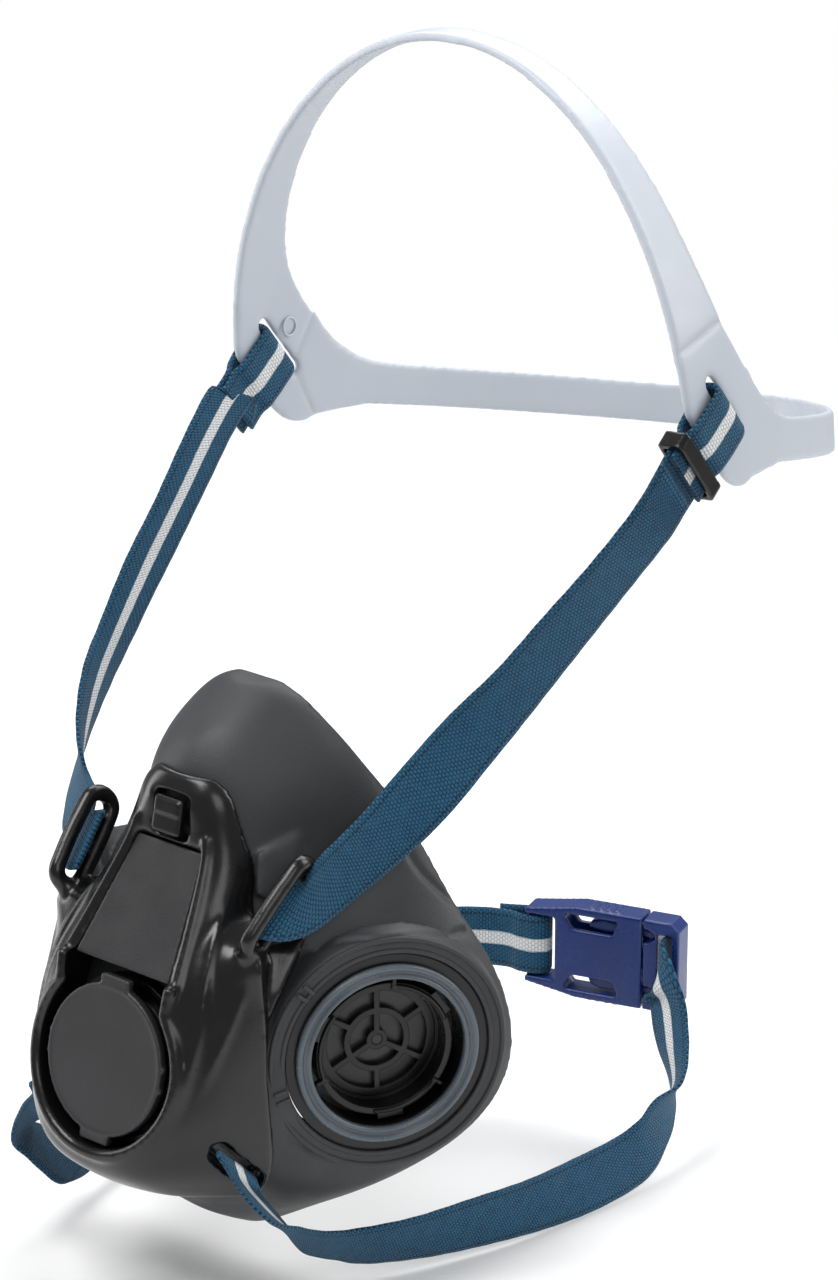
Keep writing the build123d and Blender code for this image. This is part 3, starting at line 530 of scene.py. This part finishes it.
by = math.radians(17.2)
BK_O = np.array((-2.7, 83.3, -38.5))
BK_L = np.array((math.cos(by), math.sin(by), 0.0))
BK_N = np.array((math.sin(by), -math.cos(by), 0.0))


def give(node, material):
    ob = next(o for o in bpy.data.objects if o.name == node and o.type == "MESH")
    if not ob.data.materials:
        ob.data.materials.append(material)
    for i in range(len(ob.data.materials)):
        ob.data.materials[i] = material
    for s in ob.material_slots:
        s.material = material


# ------------------------------------------------------------------ hard parts kept from the frame
for side in ("left", "right"):
    # the port bodies, grilles and valve housing take the nylon copy with painted recess shade
    give("port_body_" + side, NYLON_RECESS_SHADE)
    give("port_grille_" + side, NYLON_RECESS_SHADE)
    give("port_clamp_ring_" + side, NYLON)
    give("inhale_valve_" + side, FLAP)
    give("port_gasket_" + side, SILICONE)
give("exhale_housing", NYLON_RECESS_SHADE)
give("exhale_valve", FLAP)
give("label_plate", NYLON_MATT)
give("latch_button", NYLON)
give("exhale_cover", NYLON_MATT)
for n in ("buckle_female", "buckle_male", "buckle_prong_upper", "buckle_prong_lower"):
    give(n, BLUE)
for n in ("face_cup",):
    give(n, ELASTOMER)
give("yoke", NYLON)
give("cradle", CRADLE)
give("strap_slider", NYLON)

VOX = 0.62

# ------------------------------------------------------------------ face cup
CREASES = [  # (line, height, half width)
    ([(15.0, -17.0, 56.0), (22.5, -12.5, 48.5), (27.8, -10.4, 39.4), (36.2, -9.7, 23.5), (42.3, -3.6, 13.2)], -0.55, 0.8),
    ([(27.8, -39.0, 9.0), (34.5, -34.4, 10.7), (39.5, -30.4, 11.6), (44.3, -25.9, 12.0), (47.5, -13.1, 9.7), (46.1, -3.3, 6.8)], -0.65, 0.75),
]


def crease(co, no):
    for line, hgt, wid in CREASES:
        for m in (1, -1):
            path = spline([(m * x, y, z) for x, y, z in line], 6)
            path = np.array([co[np.argmin(np.einsum("ij,ij->i", co - p, co - p))] for p in path])
            path[1:-1] = (path[:-2] + 2 * path[1:-1] + path[2:]) / 4
            d = reach(co, path)
            co = co + no * (hgt * np.exp(-(d / wid) ** 2))[:, None]
    return co


# low facets behind the strap eyes
import bmesh


def facet(points, low, high, n):
    bm = bmesh.new()
    for k, p in enumerate(points):
        bm.verts.new(tuple(np.asarray(p, float) - n * 1.5))
        bm.verts.new(tuple(np.asarray(p, float) + n * (high if k in (0, 3, 4) else low)))
    bmesh.ops.convex_hull(bm, input=bm.verts)
    bmesh.ops.delete(bm, geom=[v for v in bm.verts if not v.link_faces], context="VERTS")
    bm.verts.index_update()
    out = np.array([tuple(v.co) for v in bm.verts]), [tuple(v.index for v in f.verts) for f in bm.faces]
    bm.free()
    return out


facets = []
for m in (1, -1):
    n = unit((0.72 * m, -0.60, 0.26))
    facets.append(facet([(m * x, y, z) for x, y, z in ((17.2, -39.0, 28.6), (22.3, -30.4, 32.0), (24.6, -29.5, 26.2),
                                                       (23.2, -37.0, 17.2), (18.9, -41.0, 20.0))], 0.4, 2.2, n))
cup = fused("face_cup_moulding", [cad_mesh("face_cup")] + facets, VOX, 8, [ELASTOMER], "mask",
            sculpt=crease)
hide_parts("face_cup")

# ------------------------------------------------------------------ yoke
from mathutils.bvhtree import BVHTree


def skin_of(node):
    v, f = cad_mesh(node)
    return BVHTree.FromPolygons([Vector(p) for p in v], f)


yoke_skin = skin_of("yoke")


def settle(points, n, sink=0.3, lift=30.0):
    """Lays a line of points on the yoke's skin, looking along -n."""
    out = []
    for p in points:
        hit = yoke_skin.ray_cast(Vector(np.asarray(p) + n * lift), Vector(-n), lift + 25)[0]
        out.append(None if hit is None else np.array(hit) - n * sink)
    known = [i for i, p in enumerate(out) if p is not None]
    if not known:
        return None
    for i, p in enumerate(out):
        if p is None:
            j = min(known, key=lambda q: abs(q - i))
            out[i] = np.asarray(points[i]) + n * float((out[j] - np.asarray(points[i])) @ n)
    q = np.array(out)
    h = q @ n
    for _ in range(25):
        h[1:-1] = (h[:-2] + 2 * h[1:-1] + h[2:]) / 4
    return q + np.outer(h - q @ n, n)


def hull(points, lift, n):
    import bmesh
    bm = bmesh.new()
    for p in points:
        bm.verts.new(tuple(np.asarray(p) - n * 0.8))
        bm.verts.new(tuple(np.asarray(p) + n * lift))
    bmesh.ops.convex_hull(bm, input=bm.verts)
    loose = [v for v in bm.verts if not v.link_faces]
    bmesh.ops.delete(bm, geom=loose, context="VERTS")
    bm.verts.index_update()
    out = np.array([tuple(v.co) for v in bm.verts]), [tuple(v.index for v in f.verts) for f in bm.faces]
    bm.free()
    return out


P1, P2 = np.array((0, -47.6, 29.2)), np.array((0, -63.9, 4.9))
PD = unit(P1 - P2)
PLATE_N = np.array((0, -PD[2], PD[1]))
PLATE_C = (P1 + P2) / 2
PLATE_L = float(np.linalg.norm(P1 - P2))

extra = []
for sgn in (1, -1):
    flip_ = (lambda v: np.asarray(v, float)) if sgn > 0 else (lambda v: mirrored(v))
    c, s_, n_ = flip_(LUG_C), flip_(LUG_S), flip_(LUG_N)
    w_ = np.cross(n_, s_)
    ring = []
    for k in range(56):
        a = 2 * math.pi * k / 56
        x, y = math.cos(a), math.sin(a)
        ring.append(c + s_ * (7.7 * (1 if x > 0 else -1) * min(1, abs(x) * 2.2) + 3.7 * x) + w_ * 3.9 * y)
    extra.append(tube(ring, 1.95, closed=True))
    # ridges that run down beside the window
    for line, r in (([(18.0, -48.9, 19.9), (19.5, -54.7, 14.0), (21.6, -60.2, 5.9), (23.1, -64.5, -5.1),
                      (22.0, -68.9, -18.0), (19.1, -72.0, -27.2)], 0.95),
                    ([(27.6, -53.6, 11.3), (27.9, -55.8, 2.8), (26.2, -62.1, -9.7), (23.3, -68.8, -24.7)], 0.9)):
        p = spline([flip_(q) for q in line], 8)
        r_ = np.full(len(p), r)
        taper = np.minimum(np.arange(len(p)), np.arange(len(p))[::-1]) / 8.0
        extra.append(tube(p, r_ * np.clip(taper, 0.25, 1)))
    # arm below the eye, lying on the cup
    n = flip_(unit((0.62, -0.62, 0.42)))
    extra.append(hull([flip_(q) for q in ((20.9, -46.5, 9.8), (26.8, -40.5, 9.4), (28.9, -35.6, 12.0),
                                          (30.0, -39.6, 7.9), (29.6, -45.0, 1.0), (28.6, -49.6, -7.3),
                                          (24.4, -51.0, 0.0))], 2.6, n))
    # web from the eye to the shoulder
    e0, e1 = c - s_ * 10.0, flip_((25.0, -52.6, 8.6))
    extra.append(tube(spline([e0, (e0 + e1) / 2 + n * 0.6, e1], 6), 2.3))

# rim of the window
rim = []
for k in range(41):
    a = math.radians(-222 + 264 * k / 40)
    rim.append(EXH_C + XX * 20.9 * math.cos(a) + EXH_V * 20.9 * math.sin(a))
rim = [rim[0] + EXH_V * 7.0 + XX * -0.6] + rim + [rim[-1] + EXH_V * 7.0 + XX * 0.6]
rim = settle(rim, EXH_N, 0.2)
if rim is not None:
    extra.append(tube(rim, 1.5, flat=1.0))
# frame of the label plate and the hood over the latch
for sgn in (1, -1):
    line = [PLATE_C + XX * sgn * x + PD * v for x, v in ((16.4, -15.0), (14.8, -6.0), (13.0, 4.0), (11.2, 13.0), (10.2, 18.0))]
    line = settle(spline(line, 6), PLATE_N, 0.1)
    if line is not None:
        extra.append(tube(line, 1.15))
yoke = fused("yoke_moulding", [cad_mesh("yoke")] + extra, VOX * 0.85, 20, [NYLON], "mask")
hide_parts("yoke")

# blank label plate
lower, upper_w = 14.0, 9.8
h = PLATE_L / 2 - 0.15
plate_v = []
for t in (-1.3, 0.05):
    for x, v in ((-lower, -h), (lower, -h), (upper_w, h), (-upper_w, h)):
        plate_v.append(PLATE_C + PLATE_N * t + XX * x + PD * v)
plate = fused("label_plate_blank", [(np.array(plate_v), [(3, 2, 1, 0), (4, 5, 6, 7), (0, 1, 5, 4), (1, 2, 6, 5),
                                                        (2, 3, 7, 6), (3, 0, 4, 7)])],
              0.34, 4, [NYLON_MATT], "mask")
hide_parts("label_plate")

# latch button with its thumb step
BUTTON_N = unit((0, -0.98, 0.2))
BUTTON_V = np.cross(XX, BUTTON_N) * -1
BUTTON_V = BUTTON_V if BUTTON_V[2] > 0 else -BUTTON_V
BUTTON_C = np.array((0.0, -47.6, 35.6))
button = fused("latch_button_cap", [cad_mesh("latch_button"),
                                    block(BUTTON_C + BUTTON_N * 1.3 + BUTTON_V * 1.9, XX, BUTTON_V, BUTTON_N, 7.0, 3.0, 1.3)],
               0.28, 4, [NYLON], "latch")
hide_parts("latch_button")

# valve cover with a soft rim
ringp = [EXH_C + XX * 16.4 * math.cos(a) + EXH_V * 16.4 * math.sin(a) - EXH_N * 0.25
         for a in np.linspace(0, 2 * math.pi, 120, endpoint=False)]
marks = []
for a in (8, 172, 188, 352):
    a = math.radians(a)
    marks.append(block(EXH_C + (XX * math.cos(a) + EXH_V * math.sin(a)) * 17.0 - EXH_N * 0.9,
                       XX * math.cos(a) + EXH_V * math.sin(a), -XX * math.sin(a) + EXH_V * math.cos(a), EXH_N, 1.3, 0.9, 1.2))
cover = fused("valve_cover", [cad_mesh("exhale_cover"), tube(ringp, 0.45, closed=True)] + marks,
              0.36, 4, [NYLON_MATT], "mask")
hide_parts("exhale_cover")

# filter gaskets with a lipped profile, and index marks on the bosses
for sgn, side in ((1, "left"), (-1, "right")):
    prof = [(21.0, -1.55), (21.0, -0.55), (20.75, -0.15), (20.3, 0.0), (19.9, -0.12), (19.6, -0.55), (19.3, -0.72),
            (18.9, -0.68), (18.65, -0.30), (18.3, -0.02), (17.95, -0.10), (17.65, -0.50), (17.62, -1.55)]
    v, f = lathe(PORT_C[sgn], PORT_N[sgn], UP, prof, steps=144)
    g_ = make("filter_gasket_" + side, v, f, [SILICONE], "mask")
    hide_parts("port_gasket_" + side)
    prof = [(27.3, -1.9), (27.3, -0.95), (27.0, -0.75), (26.5, -0.75), (26.2, -0.95), (26.2, -1.9)]
    v, f = lathe(PORT_C[sgn], PORT_N[sgn], UP, prof, steps=144)
    make("boss_lip_" + side, v, f, [ELASTOMER], "mask")
    prof = [(24.6, -1.9), (24.6, -1.05), (24.4, -0.95), (23.7, -0.95), (23.5, -1.05), (23.5, -1.9)]
    v, f = lathe(PORT_C[sgn], PORT_N[sgn], UP, prof, steps=144)
    make("boss_step_" + side, v, f, [ELASTOMER], "mask")
    parts = []
    for a in (135.5, 140.5, 193.0, 198.0):
        a = math.radians(a)
        d_ = PORT_U[sgn] * math.cos(a) + UP * math.sin(a)
        e_ = np.cross(PORT_N[sgn], d_)
        parts.append(block(PORT_C[sgn] + d_ * 25.4 - PORT_N[sgn] * 0.95, d_, e_, PORT_N[sgn], 3.2, 0.9, 1.5))
    fused("index_marks_" + side, parts, 0.16, 2, [ELASTOMER], "mask")
    # inner guide arcs of the filter socket
    parts = []
    for a0 in (20, 140, 260):
        pts = [PORT_C[sgn] - PORT_N[sgn] * 3.3 + (PORT_U[sgn] * math.cos(t) + UP * math.sin(t)) * 14.9
               for t in np.radians(np.linspace(a0, a0 + 62, 22))]
        parts.append(tube(pts, 0.55))
        t = math.radians(a0 + 62)
        d_ = PORT_U[sgn] * math.cos(t) + UP * math.sin(t)
        parts.append(block(PORT_C[sgn] - PORT_N[sgn] * 3.7 + d_ * 15.6, d_, np.cross(PORT_N[sgn], d_), PORT_N[sgn], 3.2, 1.0, 1.7))
    # the socket guides take the nylon copy with painted recess shade
    fused("socket_guides_" + side, parts, 0.26, 3, [NYLON_RECESS_SHADE], "mask")

slide = fused("strap_slide", [cad_mesh("strap_slider")], 0.26, 4, [NYLON], "slider")
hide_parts("strap_slider")
for n_ in ("buckle_female", "buckle_male", "buckle_prong_upper", "buckle_prong_lower"):
    b_ = fused(n_ + "_moulding", [cad_mesh(n_)], 0.30, 3, [BLUE], BODY[n_])
    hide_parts(n_)

# ------------------------------------------------------------------ cradle
CRADLE_O = np.array((-0.12, 50.37, 105.15))
roll, yaw = -0.080, 0.029
cr, sr, cy, sy = math.cos(roll), math.sin(roll), math.cos(yaw), math.sin(yaw)
CX = np.array((cy * cr, sy * cr, -sr))
CY = np.array((-sy, cy, 0.0))
CZ = np.array((cy * sr, sy * sr, cr))


def smoothstep(v, a, b):
    t = np.clip((v - a) / (b - a), 0, 1)
    return t * t * (3 - 2 * t)


def flow(co, no):
    """Lets the slotted side plates run smoothly into the two bands."""
    q = co - CRADLE_O
    x, y, z = q @ CX, q @ CY, q @ CZ
    side = np.sign(x)
    nx = (no @ CX) * side
    zc = np.clip(z, 0, 80)
    dc = 66.8 - 66.8 * np.sqrt(1 - (zc / 86.1) ** 2)
    st = np.clip(np.clip(y, 0, 100) / 119.5, 0, 1) ** (1 / 1.15)
    dr = 66.8 - 66.8 * np.sqrt(1 - st ** 2) ** 1.15
    limit = 66.8 - dc - dr * (1 - smoothstep(z, 14, 34))
    limit = limit - 2.0 * (1 - np.clip(nx * 0.5 + 0.5, 0, 1))
    near = (z < 42) & (y < 55)
    new = np.where(near, np.minimum(np.abs(x), limit), np.abs(x))
    return co + np.outer(side * (new - np.abs(x)), CX)


mark = np.array((-64.54, 61.70, 109.68)) + CX * 0.3
parts = []
for r_, k_ in ((2.2, 0.30),):
    pts = [mark + CY * math.cos(a) * r_ + CZ * math.sin(a) * r_ for a in np.linspace(0, 2 * math.pi, 40, endpoint=False)]
    parts.append(tube(pts, k_, closed=True, n=10))
cradle = fused("head_cradle", [cad_mesh("cradle")], VOX, 10, [CRADLE], "harness",
               sculpt=flow, post=8)
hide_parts("cradle")
v, f = merge(*parts)
make("cradle_mould_mark", v, f, [CRADLE], "harness")

# ------------------------------------------------------------------ straps
def slot_row(c, s, n, off, half=7.5):
    m = c + off * n
    return (m + half * s, m - half * s)


def cradle_row(side, u_, x, half=7.5):
    k = math.radians(-53.1)
    sy_, sz_ = math.cos(k), math.sin(k)
    y, z = 10.05 + u_ * sz_, 5.4 - u_ * sy_
    out = []
    for h in (-half, half):
        v = (side * x, y + h * sy_, z + h * sz_)
        out.append(CRADLE_O + v[0] * CX + v[1] * CY + v[2] * CZ)
    return tuple(out)


def buckle_row(x, n, way=1, half=7.5):
    c = BK_O + x * BK_L + n * BK_N
    return (c - UP * way * half, c + UP * way * half)


def loop_rows(side):
    xm = 66.8 - 1.1
    return [cradle_row(side, 21.0, xm + 0.9), cradle_row(side, 19.5, xm + 0.9),
            cradle_row(side, 14.5, xm + 0.95), cradle_row(side, 11.5, xm + 2.1),
            cradle_row(side, 5.5, xm + 2.5), cradle_row(side, 2.3, xm + 2.5),
            cradle_row(side, 0.3, xm + 1.7), cradle_row(side, -0.2, xm),
            cradle_row(side, 0.3, xm - 1.7), cradle_row(side, 2.3, xm - 2.5),
            cradle_row(side, 5.5, xm - 2.4), cradle_row(side, 11.5, xm - 2.1),
            cradle_row(side, 14.5, xm - 0.95), cradle_row(side, 19.5, xm - 0.9)]


UPPER_LEFT = [
    ((59.6, 37.3, 97.0), (60.2, 48.9, 87.5)),
    ((56.2, 26.9, 86.5), (56.9, 38.8, 77.3)),
    ((51.6, 16.0, 75.7), (53.5, 27.5, 66.3)),
    ((47.3, 5.6, 65.5), (50.3, 16.4, 55.5)),
    ((41.7, -3.8, 56.2), (47.6, 4.1, 44.9)),
    ((37.9, -12.4, 47.5), (45.2, -7.2, 35.8)),
    ((35.4, -24.3, 38.3), (39.7, -16.5, 26.3)),
    ((33.6, -33.5, 32.6), (35.2, -28.0, 18.7)),
    ((32.7, -38.0, 29.0), (33.3, -41.4, 14.4)),
]
UPPER_RIGHT = [
    ((-65.3, 34.9, 100.2), (-63.6, 48.8, 94.9)),
    ((-63.8, 25.4, 92.0), (-62.9, 40.0, 88.7)),
    ((-63.0, 14.1, 78.8), (-61.1, 29.0, 78.5)),
    ((-61.8, 2.7, 67.3), (-60.2, 17.5, 66.3)),
    ((-60.1, -8.3, 54.5), (-58.9, 6.6, 55.7)),
    ((-56.1, -17.8, 46.9), (-59.0, -3.6, 43.2)),
    ((-51.3, -24.8, 39.4), (-57.5, -12.0, 34.8)),
    ((-45.8, -29.6, 34.1), (-55.2, -19.7, 27.8)),
    ((-42.3, -30.8, 29.6), (-53.3, -26.0, 20.5)),
    ((-37.3, -33.6, 28.2), (-46.0, -35.3, 16.0)),
    ((-33.6, -37.0, 28.0), (-36.3, -42.2, 14.3)),
]
LOWER_RIGHT = [
    ((-31.8, -61.0, -36.0), (-34.6, -51.6, -47.4)),
    ((-36.0, -60.0, -40.6), (-41.7, -49.6, -49.7)),
    ((-40.6, -58.6, -47.6), (-47.2, -47.0, -54.0)),
    ((-43.0, -57.1, -53.7), (-49.9, -43.9, -55.5)),
    ((-42.4, -53.0, -58.8), (-49.8, -40.0, -58.4)),
    ((-41.0, -45.7, -67.3), (-47.0, -32.0, -66.7)),
    ((-41.7, -40.6, -69.4), (-48.9, -27.4, -69.0)),
    ((-44.8, -31.6, -71.3), (-52.6, -19.6, -66.8)),
    ((-47.5, -19.7, -69.1), (-55.3, -10.3, -60.8)),
    ((-51.0, -7.5, -63.5), (-57.0, -2.0, -51.0)),
    ((-54.5, 7.0, -57.0), (-57.5, 9.0, -42.5)),
    ((-54.5, 28.0, -52.5), (-55.0, 29.0, -37.5)),
    ((-46.5, 47.5, -50.5), (-46.5, 48.5, -35.5)),
    ((-33.0, 64.0, -48.0), (-33.0, 64.5, -33.0)),
    ((-20.0, 74.6, -46.5), (-20.0, 74.6, -31.5)),
]
LOWER_LEFT = [
    ((31.4, -59.5, -41.5), (28.4, -47.5, -50.0)),
    ((33.9, -52.9, -49.8), (27.3, -41.8, -57.1)),
    ((32.9, -43.5, -54.9), (26.5, -35.6, -66.0)),
    ((32.4, -35.4, -59.2), (28.2, -26.9, -70.8)),
    ((33.0, -25.8, -62.3), (29.9, -18.0, -74.7)),
    ((38.1, -11.2, -63.3), (36.7, -3.8, -76.2)),
    ((42.0, 6.8, -63.6), (43.0, 13.4, -77.0)),
    ((43.9, 22.2, -64.5), (46.4, 28.5, -77.9)),
    ((44.8, 37.1, -64.7), (48.8, 43.1, -77.8)),
    ((46.4, 51.3, -63.8), (49.5, 58.7, -76.5)),
    ((48.0, 58.3, -61.2), (47.8, 68.0, -72.7)),
    ((47.6, 64.4, -58.4), (44.7, 75.7, -67.9)),
    ((49.2, 72.1, -56.3), (39.2, 81.3, -62.7)),
    ((45.8, 79.1, -51.7), (32.1, 84.4, -54.7)),
    ((40.6, 84.8, -44.7), (26.2, 88.6, -46.4)),
    ((36.9, 85.0, -36.2), (26.3, 86.2, -46.8)),
]


def ribbon(name, rows, node, body, flip=False, gather=None, t=1.25, across=16, per=9):
    """Webbing between two edge lines. Returns the piece and its length in millimetres."""
    L = np.array([r[0] for r in rows], float)
    R = np.array([r[1] for r in rows], float)
    mid, wid = (L + R) / 2, R - L
    m = spline(mid, per)
    w = spline(wid, per)
    width = np.linalg.norm(w, axis=1)
    w /= width[:, None]
    tan = np.gradient(m, axis=0)
    tan /= np.linalg.norm(tan, axis=1)[:, None]
    run = np.concatenate([[0], np.cumsum(np.linalg.norm(np.diff(m, axis=0), axis=1))])
    nrm = np.cross(w, tan)
    nrm /= np.linalg.norm(nrm, axis=1)[:, None]
    verts, faces, index, uvs = [], [], [], []
    xs = [-0.5 + k / across for k in range(across + 1)]
    ring = [(x, 1) for x in xs] + [(x, -1) for x in reversed(xs)]
    k = len(ring)
    for i in range(len(m)):
        span = 15.0
        for x, s in ring:
            edge = max(0.0, (abs(x) - 0.455) / 0.045)
            half = t / 2 * math.sqrt(max(0.0, 1 - 0.75 * edge ** 2))
            # the knit edge is a little thinner and wavy
            half *= 1.0 - 0.10 * math.exp(-((abs(x) * 15 - 6.15) / 0.4) ** 2)
            lift = 0.05 * math.sin(run[i] * 0.9 + 3 * x) * (2 * abs(x)) ** 3
            p = m[i] + w[i] * span * x + nrm[i] * (s * half + lift)
            if gather is not None:
                p = gather(p, m[i], w[i], nrm[i], x, s, run[i], run[-1])
            verts.append(p)
    for i in range(len(m) - 1):
        for j in range(k):
            a, b = i * k + j, i * k + (j + 1) % k
            c, d = (i + 1) * k + (j + 1) % k, (i + 1) * k + j
            faces.append((a, b, c, d))
            side = ring[j][1] if j not in (across, k - 1) else 0
            index.append(1 if (side == 1) != flip and side != 0 else 0)
            x0, x1 = ring[j][0], ring[(j + 1) % k][0]
            u0, u1 = (x0 + 0.5) * 15, (x1 + 0.5) * 15
            uvs.append(((u0, run[i]), (u1, run[i]), (u1, run[i + 1]), (u0, run[i + 1])))
    faces.append(tuple(range(k))[::-1])
    index.append(0)
    uvs.append([((ring[j][0] + 0.5) * 15, run[0]) for j in range(k)][::-1])
    faces.append(tuple((len(m) - 1) * k + j for j in range(k)))
    index.append(0)
    uvs.append([((ring[j][0] + 0.5) * 15, run[-1]) for j in range(k)])
    ob = make(name, verts, faces, [WEB_PLAIN, WEB_STRIPE], None, index=index, uvs=uvs)
    if node:
        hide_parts(node)
    return ob, float(run[-1])


# straight through the slide over its whole run
SLIDE_ROWS = [cradle_row(1, 22.0, 64.8), cradle_row(1, 24.5, 64.8)]
rows = loop_rows(1) + SLIDE_ROWS + UPPER_LEFT + [slot_row(LUG_C, LUG_S, LUG_N, 1.6), slot_row(LUG_C, LUG_S, LUG_N, -2.4)]
upper_left, n1 = ribbon("upper_strap_webbing_left", rows, "upper_strap_left", "harness", flip=False)
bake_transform(upper_left)

ml = [mirrored(LUG_C), mirrored(LUG_S), mirrored(LUG_N)]
rows = loop_rows(-1) + UPPER_RIGHT + [slot_row(*ml, 1.6), slot_row(*ml, -2.4)]
upper_right, n2 = ribbon("upper_strap_webbing_right", rows, "upper_strap_right", "harness", flip=True)
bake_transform(upper_right)

rows = [slot_row(LOW_C, -LOW_S, LOW_N, -1.2), slot_row(LOW_C, -LOW_S, LOW_N, 2.0)] + LOWER_LEFT
rows += [buckle_row(33.0, 5.4, -1), buckle_row(33.0, -1.0, -1)]
lower_left, n3 = ribbon("lower_strap_webbing_left", rows, "lower_strap_left", "buckle_plug", flip=True)
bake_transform(lower_left)

lm = [mirrored(LOW_C), mirrored(-LOW_S), mirrored(LOW_N)]


def turned(rows, first, last):
    """The same line with a half turn of the webbing between two stations."""
    out = []
    mids = [(np.array(p) + np.array(q)) / 2 for p, q in rows]
    for i, (p, q) in enumerate(rows):
        a = math.pi * min(1.0, max(0.0, (i - first) / (last - first)))
        w = (np.array(q) - np.array(p)) / 2
        t = unit(mids[min(i + 1, len(rows) - 1)] - mids[max(i - 1, 0)])
        w = w * math.cos(a) + np.cross(t, w) * math.sin(a)
        out.append((mids[i] - w, mids[i] + w))
    return out


rows = turned([slot_row(*lm, -1.2), slot_row(*lm, 2.0)] + LOWER_RIGHT, 10, 14)
rows += [buckle_row(-9.0, 1.7, -1), buckle_row(-4.5, 2.8, -1), buckle_row(-1.2, 2.8, -1),
         buckle_row(1.2, 1.7, -1), buckle_row(1.9, 0.0, -1), buckle_row(1.2, -1.7, -1),
         buckle_row(-1.2, -2.8, -1), buckle_row(-4.5, -2.8, -1), buckle_row(-11.5, -1.0, -1)]
lower_right, n4 = ribbon("lower_strap_webbing_right", rows, "lower_strap_right", "mask", flip=False)
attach(lower_right, "mask")
